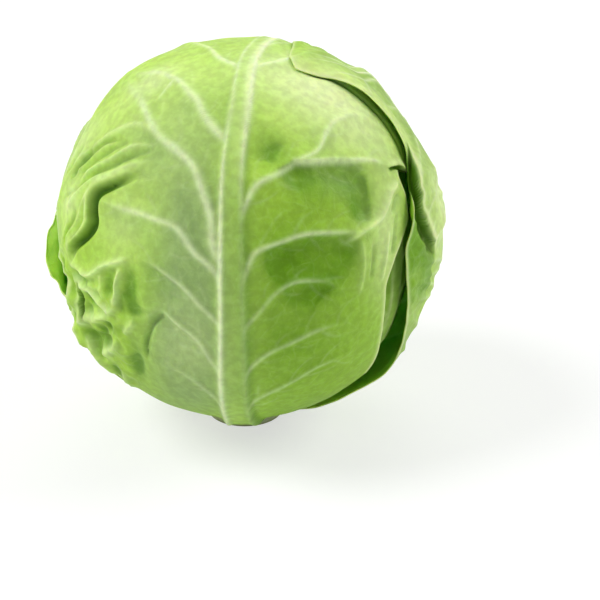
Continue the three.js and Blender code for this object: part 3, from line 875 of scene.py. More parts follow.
print(len(FRONT_LEDGES), "ledges, and a pleat of", len(FRONT_PLEAT), "places")

# %% [markdown]
# ## Folds and drops
#
# Three kinds of line shape a blade. A pleat is where the leaf doubles over: one side stands up
# and hangs over the other, so its points also slide sideways. A ledge is where the blade hangs
# lower than the vein beside it. A fold is a plain wrinkle with a sharp crest and wide foot.

# %% Folds and drops


def pleat(points, azimuth, places, lip, drop, trough, overhang, grows, roll=0.0):
    """A fold whose lip hangs over a crease. The left of the line is the lip: it stands lip mm high
    and fades inwards. The right is a trough, drop mm deep and trough mm wide, that comes back up
    over twice its width. The lip rolls down to the line over roll mm, and its points slide across
    the line by overhang mm. grows is (start, full, hold, end) as shares of the line's length.
    Returns lift, crease mask (painted shade in the trough), lip mask (painted highlight along the
    lip) and slide."""
    line = trace(azimuth, places)
    t, share = from_line(points, line, reach=6 * trough)
    strength = ease((share - grows[0]) / (grows[1] - grows[0]))
    strength = strength * (1 - ease((share - grows[2]) / (grows[3] - grows[2])))
    near = np.abs(t)
    high = lip * bell((np.maximum(t, 0) - 0.4 - roll) / (1.6 * trough))
    low = -drop * (1 - ease((near - 0.5 * trough) / (1.8 * trough)))
    step = ease((t + 0.45) / (0.9 + roll))
    lift = np.where(near < 900, step * high + (1 - step) * low, 0)
    # painted shade: the crease mask covers the trough and the foot of the lip
    crease = (1 - ease(t / (0.6 + roll))) * (1 - ease((-t - 0.95 * trough) / (0.5 * trough)))
    # painted highlight along the lip
    rim = step * bell((t - 1.2 - roll) / 1.5)
    k = np.clip((share * (len(line) - 1)).astype(int), 0, len(line) - 2)
    across = np.cross(line[:-1], np.diff(line, axis=0))
    across /= np.linalg.norm(across, axis=1)[:, None]
    shift = step * overhang * np.exp(-near / (1.2 * trough)) * strength
    return lift * strength, crease * strength, rim * strength, -across[k] * shift[:, None]


def ledge(points, azimuth, places, side, depth, reach):
    """A drop on one side of a line: deepest at reach mm from it, and level again further out."""
    t, share = from_line(points, trace(azimuth, places), reach=7 * reach)
    x = np.clip(side * t, 0, 200) / reach
    ends = ease(share / 0.25) * ease((1 - share) / 0.25)
    return -depth * ends * x * np.exp(1 - x)


def fold(points, azimuth, places, width, height):
    """A wrinkle: a sharp-crested ridge along a line, or a groove if its height is negative."""
    t, share = from_line(points, trace(azimuth, places), reach=9 * width)
    ends = ease(share / 0.2) * ease((1 - share) / 0.2)
    return height * ends * (1 + (t / width) ** 2) ** -1.5


def patch(along, across, at_along, at_across, reach_along, reach_across):
    """A soft round patch on a leaf, 1 in the middle."""
    return bell((along - at_along) / reach_along) * bell((across - at_across) / reach_across)


beside = CHART_RADIUS * direction(0, np.array([120.0]), np.arange(0, 9, 2)[:, None]).reshape(-1, 3)
print("a fold across 0 to 8 degrees", fold(beside, 0, [(80, 0), (160, 0)], 1.5, 2.0).round(2))

# %% [markdown]
# ## Tints and painted light of the front leaf
#
# A cabbage leaf is not one green, and the wax on it lies thickest beside the midrib. The other
# tints are painted light. Deep is painted shade in the dips, the hollows and the shaded right half,
# and fresh and pale are mostly painted highlight where the light falls on the crown, the upper
# left, the ridges and the rims. Each tint is a mask on the mesh, built from a few soft patches, and
# the material turns it into a colour.

# %% Tints and painted light of the front leaf
FRONT_TINTS_AND_PAINTED_LIGHT = {  # share, along, across, reach along, reach across
    # painted shade: dips below the veins, pockets of the crumple and the shaded right field
    "deep": [
        (0.3, 80, 14, 24, 20), (0.5, 129, 35, 7, 5), (0.45, 108, 12, 8, 8), (0.5, 152, -51, 5, 8),
        (0.3, 142, -36, 9, 14), (0.5, 64, -45, 4, 4), (0.5, 88, -53, 4, 4),
    ],
    # mostly painted highlight: the crown, the top right, the ridges and the lip
    "pale": [
        (0.8, 163, 22, 15, 20), (0.5, 169, -25, 7, 8), (0.35, 164, -54, 10, 12),
        (0.5, 136, -60, 12, 8), (0.4, 150, 36, 14, 20), (0.3, 80, -17, 14, 10),
        (0.25, 146, -30, 20, 22), (0.35, 118, -37, 12, 9), (0.6, 114, 46, 26, 7),
    ],
    # mostly painted highlight: the lit upper left and the ridge on the right
    "fresh": [
        (0.9, 172, -14, 14, 9), (0.6, 166, -38, 12, 8), (0.7, 140, -42, 12, 16),
        (0.3, 105, -45, 20, 16), (0.5, 108, 46, 22, 8),
    ],
    "bloom": [(1.0, 112, -15, 42, 12), (0.9, 62, -18, 34, 14)],
}


def tint(key, along, across):
    """The sum of a tint's patches, each times its share."""
    return sum(share * patch(along, across, *place) for share, *place in FRONT_TINTS_AND_PAINTED_LIGHT[key])


print("bloom by the midrib", float(tint("bloom", np.array(112.0), np.array(-15.0))))

# %% [markdown]
# ## Putting the front leaf together
#
# The crumple is made of ripples whose zero lines are turned into creases, which is how a thin
# sheet buckles. Painted shade, a deep green, then goes into the hollows. Towards the leaf's low end
# the left crest of the rib stays pale as a painted highlight, while the rest of the rib is painted
# as green as the blade, a painted shade on its side away from the light.

# %% Folds of the front leaf
FRONT_RIB = ((3.6, 1.2), (15.5, 9.0))  # heights and widths at the low end and at the tip, mm
FRONT_FOLDS = [  # places, (lip, drop, trough and overhang in mm), where it grows, roll, share of painted shade
    (FRONT_PLEAT, (1.7, 2.8, 1.8, 0.8), (0.04, 0.32, 0.7, 1), 2.0, 1.0),
    (FRONT_TEAR, (0.8, 2.0, 1.6, 1.0), (0, 0.3, 1, 2), 0.0, 1.0),
    (FRONT_SLIT, (0.8, 2.4, 1.3, 0.8), (0, 0.35, 0.6, 1), 0.0, 0.9),
]


def front_folds(near):
    """The pleat, the tear and the slit together: lift, slide, crease mask of painted shade and rim
    mask of painted highlight.
    """
    lift, slide, creases, rims = 0, 0, [], []
    for places, sizes, grows, roll, crease_shade_share in FRONT_FOLDS:
        up, crease, rim, shift = pleat(near, 0, places, *sizes, grows, roll)
        lift, slide = lift + up, slide + shift
        creases.append(crease_shade_share * crease)
        rims.append(rim)
    return lift, slide, np.max(creases, axis=0), np.max(rims, axis=0)


def front_blade(near, along, across):
    """The height of the wrinkles, and that of the ledges and dips, each summed over its list."""
    wrinkles, drops = np.zeros(len(near)), np.zeros(len(near))
    for places, width, height in FRONT_WRINKLES:
        wrinkles = wrinkles + fold(near, 0, places, width, height)
    for places, side, depth, reach in FRONT_LEDGES:
        drops = drops + ledge(near, 0, places, side, depth, reach)
    for *place, depth in FRONT_DIPS:
        drops = drops - depth * patch(along, across, *place)
    return wrinkles, drops


def crumpled(near, along, across):
    """The crumple at the leaf's lower left: how strong it is at each point, and two sizes of
    crease, each 1 on the zero lines of a ripple and falling away from them."""
    crumple = ease((-30 - across) / 12) * ease((100 - along) / 10) * ease((along - 28) / 16)
    creased = 1 - np.abs(ripple(near, 19, 23)) * 1.3
    small_creases = 1 - np.abs(ripple(near, 9, 25)) * 1.4
    return crumple, creased, small_creases


print("folds of the front leaf", len(FRONT_FOLDS))

# %% Relief and masks of the front leaf


def front_masks(leaf, along, across, masks, hollow, ridges, rim):
    """Put the front leaf's tints into its masks. Painted shade makes its right half, its hollows
    and the rib's right flank deep, painted highlight makes its ridges, rims and crown pale, and the
    right side of the rib's upper part is pale too."""
    off = midrib_relief(leaf, along, across, *FRONT_RIB)[3]
    low = ease((150 - along) / 36)
    band = bell((off - 0.5) / 0.45) * ease((along - 118) / 44)
    # painted shade on the rib's right flank, the side away from the light, towards its low end
    rib_shade_flank = bell((off - 0.85) / 0.4) * low
    # painted shade over the leaf's right half, which is turned from the light
    right = ease((across + 2) / 12) * ease((140 - along) / 28)
    right = right * (1 - 0.8 * patch(along, across, 119, 30, 9, 7))
    # painted highlight on the crown
    crown = ease((along - 150) / 18)
    tints = {key: tint(key, along, across) for key in FRONT_TINTS_AND_PAINTED_LIGHT}
    # painted shade: the right half, the hollows and the rib's right flank turn deep
    tints["deep"] = tints["deep"] + 0.38 * right + hollow + 0.75 * rib_shade_flank
    # painted highlight: ridges, lip rims and the crown turn pale
    tints["pale"] = tints["pale"] + 0.3 * ridges + 0.35 * rim + 0.15 * crown + 0.85 * band
    # painted light on the rib: low down the left crest stays pale as a lit edge, and the right
    # crest and the rib's pale tint fade into painted shade
    masks["crest"] = masks["crest"] * np.where(off < 0, 0.5 + 0.5 * low, 1 - 0.85 * low)
    masks["rib"] = masks["rib"] * (1 - 0.8 * low) * (1 - 0.8 * band)
    masks.update({key: np.clip(values, 0, 1) for key, values in tints.items()})


def front_detail(leaf, along, across, points):
    """The front leaf's own lift, slide and masks: its veins, folds, wrinkles, drops and crumple,
    a loose lower left margin, and a shallow groove where the right leaf's margin presses. Its
    hollows get painted shade, and the groove gets a painted shadow of that margin."""
    fine = twigs(FRONT_VEINS, 15, 17, 5)
    lift, masks, near = common_detail(
        leaf, along, across, points, FRONT_RIB, FRONT_VEINS, fine, 0.9, 0.25, 11
    )
    folded, slide, crease, rim = front_folds(near)
    wrinkles, drops = front_blade(near, along, across)
    crumple, creased, small_creases = crumpled(near, along, across)
    bumpy = crumple * (1.1 * creased + 0.7 * small_creases + 0.3 * ripple(near, 10, 21))
    loose = bell(edge_distance(leaf, along, across) / 7)
    loose = loose * ease((-across - 20) / 20) * ease((104 - along) / 20)
    seam, share = from_line(points, trace(112, FRONT_SEAM), reach=8)
    seam = bell(seam / 1.3) * ease(share / 0.3) * ease((1 - share) / 0.12)
    # painted shade: the deeper the drops, grooves and crumple creases, the deeper the green
    hollow = np.clip(-drops - 0.7 * wrinkles, 0, 3)
    small_hollow = 0.9 * np.clip(0.2 - small_creases, 0, 1)
    hollow = hollow + crumple * (np.clip(-creased, 0, 1) + small_hollow)
    hollow = (0.55 + 0.25 * crumple) * hollow
    front_masks(leaf, along, across, masks, hollow, np.clip(wrinkles, 0, 2.5), rim)
    # painted shade: the crease mask darkens the pleat troughs, and the seam gets a painted shadow
    # of the right leaf's margin
    masks["crease"] = np.maximum(crease, 0.9 * seam)
    lift = lift + wrinkles + bumpy + 0.8 * loose * ripple(points, 14, 24)
    return lift + drops - 0.7 * seam + folded, slide, masks


front = OUTER_LEAVES["wrapper_leaf_front"]
front["row_crowds"] = [(0.54, 0.16, 0.7), (0.4, 0.1, 0.4)]
front["column_crowds"] = [(0.25, 0.15, 1.2), (0.9, 0.08, 0.5)]
front_shares = spread(301, front["row_crowds"]), spread(286, front["column_crowds"])
front_leaf = build_leaf("wrapper_leaf_front", front, 301, 286, front_detail, step=3)
print("front leaf", len(front_leaf.data.polygons), "faces")

# %% [markdown]
# ## The other leaves
#
# The other leaves share one recipe: side veins at even steps up the midrib, slow patches of
# colour, and a margin that ruffles and rolls where the leaf is loose. Each leaf gets its own seed,
# so no two are alike, and the same seed always gives the same leaf.

# %% A recipe for the other leaves
ROLLING_FLARE = 5  # mm: a flare lower than this doesn't roll back


def plain_masks(points, seed, deep, bloom):
    """Masks for a leaf without special places: slow patches of deeper green, fresher green and
    greyish bloom."""
    return {
        "crease": np.zeros(len(points)),
        "deep": deep * ease(0.5 + 0.6 * ripple(points, 46, seed + 7)),
        "fresh": 0.5 * ease(0.3 + 0.7 * ripple(points, 52, seed + 8)),
        "bloom": bloom * ease(0.3 + 0.6 * ripple(points, 60, seed + 9)),
        "pale": np.zeros(len(points)),
    }


LOOSE_RIB = ((2.6, 0.9), (12.5, 5.5))  # heights and widths at the low end and at the tip, mm


def loose_detail(
    seed, starts, ruffle=0.0, roll=0.0, rib=LOOSE_RIB, sink=0.8, spacing=16, light=None
):
    """Detail for a leaf without special lines. Its margin ruffles by ruffle mm, and where it flares
    it also rolls back by roll mm, more at each crest of the ruffle. light is a patch of the leaf
    that has bleached in daylight: along, across and the reach of each."""

    def detail(leaf, along, across, points):
        lines = side_veins(leaf, starts, seed)
        fine = twigs(lines, spacing, 15, seed) if spacing else []
        uneven = 0.25 + 0.4 * (ruffle > 0)
        lift, masks, near = common_detail(
            leaf, along, across, points, rib, lines, fine, sink, uneven, seed
        )
        edge = edge_distance(leaf, along, across)
        wave = ripple(points, 21, seed + 5) + 0.5 * ripple(points, 10, seed + 6)
        inland = ease((along - 30) / 20)
        lift = lift + ruffle * wave * bell(edge / 8) * inland
        masks.update(plain_masks(points, seed, 0.5, 0.6))
        if light:
            masks["pale"] = 0.6 * patch(along, across, *light)
            masks["deep"] = masks["deep"] * (1 - patch(along, across, *light))
        slide = np.zeros_like(points)
        for side, start, end, width, height in leaf["flares"]:
            if height < ROLLING_FLARE:
                continue
            margin = side * shape_at(leaf["shape"], 1 if side < 0 else 3, along)
            near_side = bell(np.clip(margin - side * across, 0, None) * DEGREE / 7)
            ends = ease((along - start - 8) / 16) * ease((end - 4 - along) / 16)
            amount = roll * near_side * ends * (0.7 + 0.6 * wave)
            ahead = direction(leaf["azimuth"], along, across - side * 2)
            here = direction(leaf["azimuth"], along, across)
            away = (ahead - here) / np.linalg.norm(ahead - here, axis=1)[:, None]
            slide = slide + away * np.clip(amount, 0, None)[:, None]
            # painted highlight on the rolled-back margin
            masks["pale"] = np.maximum(masks["pale"], 0.8 * near_side * ends)
        return lift, slide, masks

    return detail


masks = plain_masks(beside, 1, 0.5, 0.6)
print("masks of a plain leaf", {key: values.round(2).tolist() for key, values in masks.items()})

# %% [markdown]
# ## The right leaf
#
# This leaf wraps round from the right. Its tip lies on the front leaf, but further down its
# margin lifts off, so that a gap opens under the lip, darkened by a painted shadow on the front
# leaf below, and beside the gap a lobe rolls outwards. The margin is laid on the front leaf's
# finished surface by reading that surface back, which keeps the two leaves apart wherever the front
# leaf has a vein or a fold.

# %% The right leaf
RIGHT_PLEAT = [
    (134, -29), (128, -34.5), (123, -40.5), (115, -44.4), (107, -43.4), (99.6, -41.6), (90, -41),
]
LIP_HEIGHT = 3.5  # mm of the lifted margin above the head's plain surface
RESTING_GAP, LEAST_GAP = 0.4, 0.3  # mm between this leaf's inner face and the front leaf


def laid_lift(leaf, along, across, points, lift):
    """The right leaf's lift with its tip laid on the front leaf. Over that leaf, the outer face is
    the front leaf's radius plus the wall and a small gap, a little more where it lies loose, and
    the lip along the margin stands higher."""
    own = plain_radius(leaf, along, across)
    under, inside = laid_radius(front, points / CHART_RADIUS, *front_shares)
    thickens = ease(edge_distance(leaf, along, across) / MARGIN_WIDTH)
    wall = LEAF_RIM + (LEAF_WALL - LEAF_RIM) * thickens
    settled = inside * ease((along - 124) / 14)
    loose = 1 - ease((along - 132) / 28)
    low = under + wall + RESTING_GAP + loose * (1.0 + 0.5 * ripple(points, 18, 38))
    inland = np.clip(across - shape_at(leaf["shape"], 1, along), 0, None)
    lip = bell(inland / 7) * (1 - ease((along - 149) / 15))
    raised = np.clip(body_radius(points / CHART_RADIUS) + LIP_HEIGHT - low, 0, None)
    resting = low + lip * raised - own
    lift = lift + (resting - lift) * settled
    return np.maximum(lift, inside * (under + wall + LEAST_GAP - own) - 9 * (1 - inside))


def right_detail(leaf, along, across, points):
    """The right leaf: its tip rests on the front leaf, its front margin ruffles, and lower down a
    deep pleat parts an outward-rolled lobe from a flap that lies back against the head. The crease
    and the flap get painted shade, and the lobe, the lip and the margin strip get painted
    highlight."""
    usual = loose_detail(31, (34, 50, 66, 82, 98, 114, 130), 0.4)
    lift, slide, masks = usual(leaf, along, across, points)
    folded, crease, rim, over = pleat(
        points, 112, RIGHT_PLEAT, 0.8, 4.6, 3.4, 2.6, (0, 0.25, 0.8, 1)
    )
    lobe = patch(along, across, 103, -33, 17, 9)
    beyond, _ = from_line(points, trace(112, RIGHT_PLEAT), reach=24)
    flap = ease(-beyond / 1.5) * (beyond > -900)
    flap = flap * ease((132 - along) / 8) * ease((along - 66) / 20)
    lift = lift + folded + 0.9 * lobe * ripple(points, 16, 37)
    lift = laid_lift(leaf, along, across, points, lift)
    inland = np.clip(across - shape_at(leaf["shape"], 1, along), 0, None)
    # painted highlight: the strip along the lifted margin near the tip
    painted_lit_strip = bell(inland / 9) * ease((along - 118) / 14)
    # painted shade in the pleat's crease, except on the flap's lower part
    masks["crease"] = crease * (1 - flap * ease((108 - along) / 14))
    # painted shade: the flap that lies back against the head is deep green, and its veins and bloom
    # fade
    masks["deep"] = np.clip(masks["deep"] * (1 - painted_lit_strip) * (1 - lobe) + 1.4 * flap, 0, 1)
    masks["fresh"] = np.clip(masks["fresh"] + 0.7 * painted_lit_strip, 0, 1)
    masks["bloom"] = masks["bloom"] * (1 - painted_lit_strip) * (1 - flap) * (1 - lobe)
    masks["vein"] = masks["vein"] * (1 - 0.8 * flap)
    # painted highlight on the lobe, the pleat's lip and the margin strip
    masks["pale"] = np.clip(0.7 * lobe + 0.7 * rim + 0.55 * painted_lit_strip * (1 - flap), 0, 1)
    return lift, slide + over, masks


right_side = OUTER_LEAVES["wrapper_leaf_right"]
right_side["column_crowds"] = [(0.12, 0.14, 1.5)]
right_leaf = build_leaf("wrapper_leaf_right", right_side, 241, 221, right_detail, free=True)
print("right leaf", len(right_leaf.data.polygons), "faces")

# %% [markdown]
# ## The left leaf and the leaves beneath
#
# The left leaf turns a small flap outwards past the front leaf's edge. The three leaves under the
# wrappers have never been free: the head pressed their ribs flat while they grew, so they get low
# ribs and hardly any ruffle.

# %% The left and under leaves


def left_detail(leaf, along, across, points):
    """The left leaf: ruffled and rolled, with painted shade, a deep green, above its flap."""
    lift, slide, masks = loose_detail(41, (30, 44, 58, 72, 86, 100), 0.8, 2.0)(
        leaf, along, across, points
    )
    # painted shade above the flap
    masks["deep"] = np.clip(masks["deep"] + 0.9 * patch(along, across, 95, 26, 8, 12), 0, 1)
    return lift, slide, masks


left_side = OUTER_LEAVES["wrapper_leaf_left"]
left_side["column_crowds"] = [(0.92, 0.12, 1.0)]
left_leaf = build_leaf("wrapper_leaf_left", left_side, 221, 201, left_detail, free=True)
PRESSED_RIB = ((0.7, 0.25), (11, 4))
under_leaves = []
for name, seed, light in (
    ("under_leaf_left", 51, (120, -10, 26, 14)),
    ("under_leaf_right", 61, None),
    ("under_leaf_back", 71, None),
):
    detail = loose_detail(seed, (36, 56, 76, 96, 116), 0.2, 0, PRESSED_RIB, 0.3, light=light)
    under_leaves.append(build_leaf(name, OUTER_LEAVES[name], 145, 161, detail, thickness=1.2))
print("loose leaves", [len(o.data.polygons) for o in (left_leaf, *under_leaves)], "faces")

# %% [markdown]
# ## Inner leaves
#
# The ball inside is leaf upon leaf, each one further round the stem by the angle at which a plant
# sets its leaves, 137.5 degrees, and one level further in. They all share one shape, which reaches
# almost halfway round the head, so three leaves in a row close the ball.

# %% Inner leaves
INNER_SHAPE = np.array([
    [12, -11, 0, 11], [32, -44, 0, 44], [58, -66, 0, 66], [92, -77, 0, 77],
    [126, -73, 0, 73], [152, -58, 0, 58], [174, -36, 0, 36], [192, -12, 0, 12],
], float)
INNER_LEAVES, FIRST_INNER_LEVEL, INNER_PITCH = 14, -12.8, 3.3
FIRST_INNER_AZIMUTH, SPIRAL_STEP = 327.5, 137.5
INNER_RIB = ((0.6, 0.25), (9, 3))

inner_leaves = []
for k in range(INNER_LEAVES):
    leaf = {
        "azimuth": FIRST_INNER_AZIMUTH + k * SPIRAL_STEP,
        "level": FIRST_INNER_LEVEL - k * INNER_PITCH,
        "shape": INNER_SHAPE,
        "flares": [],
        "bulges": [],
    }
    detail = loose_detail(100 + 10 * k, (40, 64, 88, 112), 0.2, 0, INNER_RIB, 0.25, 0)
    name = f"inner_leaf_{k + 1:02d}"
    inner_leaves.append(build_leaf(name, leaf, 65, 69, detail, thickness=1.6, rim=0.8))
print(len(inner_leaves), "inner leaves of", len(inner_leaves[0].data.polygons), "faces")

# %% [markdown]
# ## Heart
#
# The heart is the last tight bud of the head, and its surface shows the edges of the small leaves
# folded over it. It sits on the stem's top like a cap. A turned profile gives both its outside
# and the hollow for the stem in one closed surface, and the folds are pushed out of it.

# %% Turned solids


def turned(name, profile, turns, relief):
    """A closed solid: a profile of (radius, height) points in mm, from the bottom of the axis to
    the top of the axis, swept once round. relief(points) pushes points out from the axis, in mm."""
    profile = np.array(profile, float)
    ring = np.linspace(0, 2 * np.pi, turns, endpoint=False)
    r, z = profile[1:-1, 0, None], profile[1:-1, 1, None]
    body = np.stack([r * np.cos(ring), r * np.sin(ring), z + 0 * ring], axis=-1)
    push = relief(body.reshape(-1, 3)).reshape(r.shape[0], turns)
    body[..., 0] += push * np.cos(ring)
    body[..., 1] += push * np.sin(ring)
    low, high = [0, 0, profile[0, 1]], [0, 0, profile[-1, 1]]
    points = np.vstack([low, body.reshape(-1, 3), high]) / 1000
    n = len(r)
    g = 1 + np.arange(n * turns).reshape(n, turns)
    g = np.column_stack([g, g[:, 0]])
    quads = np.stack([g[:-1, :-1], g[:-1, 1:], g[1:, 1:], g[1:, :-1]], axis=-1).reshape(-1, 4)
    bottom = np.column_stack([g[0, 1:], g[0, :-1], np.zeros(turns, int)])
    top = np.column_stack([g[-1, :-1], g[-1, 1:], np.full(turns, n * turns + 1)])
    mesh = bpy.data.meshes.new(name)
    mesh.from_pydata(points, [], quads.tolist() + bottom.tolist() + top.tolist())
    mesh.shade_smooth()
    made = bpy.data.objects.new(name, mesh)
    bpy.context.collection.objects.link(made)
    return made


HEART_LEVEL = FIRST_INNER_LEVEL - INNER_PITCH * INNER_LEAVES
print("the heart's surface lies", -HEART_LEVEL, "mm under the head's")

# %% The heart


def heart_profile(steps=64):
    """Up the hollow that takes the stem's top, over its mouth, then round the outside."""
    wall = STEM_TOP_RADIUS + 0.9
    a = np.linspace(0, 180, steps)
    radius = body_radius(direction(0, a, 0)) + HEART_LEVEL
    x, z = radius * np.sin(np.radians(a)), CENTRE_HEIGHT - radius * np.cos(np.radians(a))
    outside = x > wall + 0.6
    roof = STEM_TOP + 0.8
    hollow = [(0, roof), (wall - 3, roof), (wall - 1, STEM_TOP), (wall, STEM_TOP - 2)]
    mouth = [(wall + 0.2, z[outside][0] + 0.3)]
    return hollow + mouth + list(zip(x[outside], z[outside])) + [(0, z[-1])]


def heart_folds(points):
    """Edges of small leaves: slanting steps that wind round the bud, fading at both poles."""
    turn = np.arctan2(points[:, 1], points[:, 0])
    height = (points[:, 2] - CENTRE_HEIGHT) / 26
    outside = np.hypot(points[:, 0], points[:, 1]) > STEM_TOP_RADIUS + 1.4
    saw = (5 * turn / (2 * np.pi) + 1.1 * height + 0.15 * ripple(points, 22, 91)) % 1
    step = saw * ease((1 - saw) / 0.12)
    return outside * (1.1 * step - 0.9) * bell(height / 1.1)


heart = turned("heart_surface", heart_profile(), 160, heart_folds)
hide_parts("heart")
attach(heart, "root")
print("heart", len(heart.data.polygons), "faces")

# %% [markdown]
# ## Stem
#
# The stem is a woody cone that runs up into the heart. Its skin is scarred where leaves were
# attached, in the leaves' own spiral, and fibres run down it. The knife leaves a flat face
# below, and the head stands on it.

# %% The stem
STEM_ROUNDING = 6.0
SCARS, FIRST_SCAR, SCAR_PITCH = 14, 5.0, 4.6  # how many, and their heights in mm


def stem_profile():
    """Out along the cut face, round its edge, up the taper and over the top."""
    cut = [(x, 0) for x in np.linspace(0, STEM_CUT_RADIUS - 0.8, 16)]
    edge = [(STEM_CUT_RADIUS - 0.3, 0.15), (STEM_CUT_RADIUS - 0.05, 0.6)]
    heights = np.linspace(1.2, STEM_TOP - STEM_ROUNDING, 60)
    side = [(stem_radius(z) - 0.1, z) for z in heights]
    turn = np.radians([20, 40, 60, 78])
    shoulder, last = STEM_TOP - STEM_ROUNDING, stem_radius(STEM_TOP - STEM_ROUNDING) - 0.1
    cap = [(last * math.cos(t), shoulder + STEM_ROUNDING * math.sin(t)) for t in turn]
    return cut + edge + side + cap + [(0, STEM_TOP)]


def stem_scars(points):
    """Skin pulled in between leaf scars: shallow notches spaced by the leaves' spiral, and fine
    fibres down the side. The cut face and its edge stay flat."""
    turn = np.arctan2(points[:, 1], points[:, 0])
    z = points[:, 2]
    side = ease((z - 0.4) / 1.5)
    dent = np.zeros(len(points))
    for k in range(SCARS):
        at, height = math.radians(SPIRAL_STEP * k + 40), FIRST_SCAR + SCAR_PITCH * k
        around = (turn - at + np.pi) % (2 * np.pi) - np.pi
        dent = np.maximum(dent, bell(around / 0.75) * bell((z - height) / 1.5))
    fibre = ripple(np.column_stack([turn * 14, turn * 0, z * 0.1]), 2.4, 95)
    return side * (-0.55 * dent - 0.06 * (1 + fibre))


stem = turned("stem_surface", stem_profile(), 144, stem_scars)
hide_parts("stem")
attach(stem, "root")
print("stem", len(stem.data.polygons), "faces")

# %% [markdown]
# ## Leaf skin
#
# A cabbage leaf is green tissue between two clear skins. The veins hold little green, so they are
# pale, and a waxy bloom greys the blade. Painted shade, a deep green, darkens folds, hollows and
# sides turned from the light, and painted highlight, a pale green, brightens ridges, rims and the
# crown. One node group mixes all this from the masks on the mesh, and adds what is too fine for
# the mesh: a net of the smallest veins, blotches and grain. All the leaves' materials use the
# group, each with its own colours.

# %% Node helpers


class Wires:
    """Short ways to add and join nodes in one tree."""

    def __init__(self, tree):
        self.tree = tree

    def node(self, kind, **settings):
        made = self.tree.nodes.new(kind)
        for key, value in settings.items():
            setattr(made, key, value)
        return made

    def join(self, source, target):
        """Link an output to an input, or set the input if the source is a plain value."""
        if hasattr(source, "links"):
            self.tree.links.new(source, target)
        else:
            target.default_value = source

    def maths(self, operation, a, b=0.0, clamp=False):
        made = self.node("ShaderNodeMath", operation=operation, use_clamp=clamp)
        self.join(a, made.inputs[0])
        self.join(b, made.inputs[1])
        return made.outputs[0]

    def between(self, value, low, high, new_low=0.0, new_high=1.0):
        """Carry a value from one range to another, smoothly and without leaving it."""
        made = self.node("ShaderNodeMapRange", interpolation_type="SMOOTHSTEP")
        keys = ("Value", "From Min", "From Max", "To Min", "To Max")
        for source, key in zip((value, low, high, new_low, new_high), keys):
            self.join(source, made.inputs[key])
        return made.outputs["Result"]

    def mixed(self, share, a, b, blend="MIX"):
        made = self.node("ShaderNodeMix", data_type="RGBA", blend_type=blend)
        self.join(share, made.inputs[0])
        self.join(a, made.inputs[6])
        self.join(b, made.inputs[7])
        return made.outputs[2]

    def mask(self, name):
        return self.node("ShaderNodeAttribute", attribute_name=name).outputs["Fac"]

    def noise(self, place, scale, detail=3.0):
        made = self.node("ShaderNodeTexNoise")
        self.join(place, made.inputs["Vector"])
        made.inputs["Scale"].default_value = scale
        made.inputs["Detail"].default_value = detail
        return made

    def net(self, place, scale):
        """Distance to the edges between cells: 0 on the lines of a net."""
        made = self.node("ShaderNodeTexVoronoi", feature="DISTANCE_TO_EDGE")
        self.join(place, made.inputs["Vector"])
        made.inputs["Scale"].default_value = scale
        return made.outputs["Distance"]


def new_group(name, inputs, outputs):
    """A node group with named sockets. inputs are (name, kind, default), outputs (name, kind)."""
    tree = bpy.data.node_groups.new(name, "ShaderNodeTree")
    for label, kind, default in inputs:
        socket = tree.interface.new_socket(label, in_out="INPUT", socket_type="NodeSocket" + kind)
        socket.default_value = default
    for label, kind in outputs:
        tree.interface.new_socket(label, in_out="OUTPUT", socket_type="NodeSocket" + kind)
    wires = Wires(tree)
    return wires, wires.node("NodeGroupInput"), wires.node("NodeGroupOutput")


BUMP_DISTANCE = 0.0003  # metres that a material's bump stands up
print("bump", BUMP_DISTANCE * 1000, "mm")

# %% The leaf skin group
# painted shade: the dark green that the crease mask puts into pleats, tears and seams
CREASE_SHADE_GREEN = (0.07, 0.19, 0.003, 1)

wires, fed, result = new_group(
    "Leaf skin",
    [
        ("Blade", "Color", (0.36, 0.60, 0.06, 1)),
        ("Deep", "Color", (0.155, 0.35, 0.006, 1)),
        ("Fresh", "Color", (0.50, 0.78, 0.08, 1)),
        ("Bloom", "Color", (0.29, 0.42, 0.17, 1)),
        ("Pale", "Color", (0.74, 0.90, 0.40, 1)),
        ("Vein", "Color", (0.82, 0.93, 0.56, 1)),
        ("Net", "Float", 0.07),
    ],
    [("Color", "Color"), ("Roughness", "Float"), ("Height", "Float")],
)
place = wires.node("ShaderNodeTexCoord").outputs["Object"]
drift = wires.noise(place, 90, 2).outputs["Color"]
bent = wires.node("ShaderNodeMix", data_type="VECTOR")
bent.inputs[0].default_value = 0.006
wires.join(place, bent.inputs[4])
wires.join(drift, bent.inputs[5])
bent = bent.outputs[1]
blotch = wires.noise(place, 55, 4).outputs["Fac"]
mottle = wires.noise(place, 260, 4).outputs["Fac"]
grain = wires.noise(place, 1500, 2).outputs["Fac"]
wide_net = wires.between(wires.net(bent, 130), 0.0, 0.09, 1.0, 0.0)
fine_net = wires.between(wires.net(bent, 420), 0.0, 0.12, 1.0, 0.0)
net = wires.maths("MAXIMUM", wide_net, wires.maths("MULTIPLY", fine_net, 0.45))

given = {label: fed.outputs[label] for label in ("Blade", "Deep", "Fresh", "Bloom", "Pale", "Vein")}


def weighed(name, share, clamp=False):
    """A mask times a plain share or another value."""
    return wires.maths("MULTIPLY", wires.mask(name), share, clamp)


# deep holds random deeper patches and painted shade; fresh holds random fresher patches and painted
# highlight
deep = weighed("deep", wires.between(blotch, 0.25, 0.7, 0.6, 1.15), True)
fresh = weighed("fresh", wires.between(blotch, 0.3, 0.7, 1.1, 0.6), True)
color = wires.mixed(wires.between(blotch, 0.35, 0.68), given["Blade"], given["Fresh"])
color = wires.mixed(0.6, given["Blade"], color)
color = wires.mixed(fresh, color, given["Fresh"])
color = wires.mixed(deep, color, given["Deep"])
color = wires.mixed(weighed("bloom", 0.8), color, given["Bloom"])
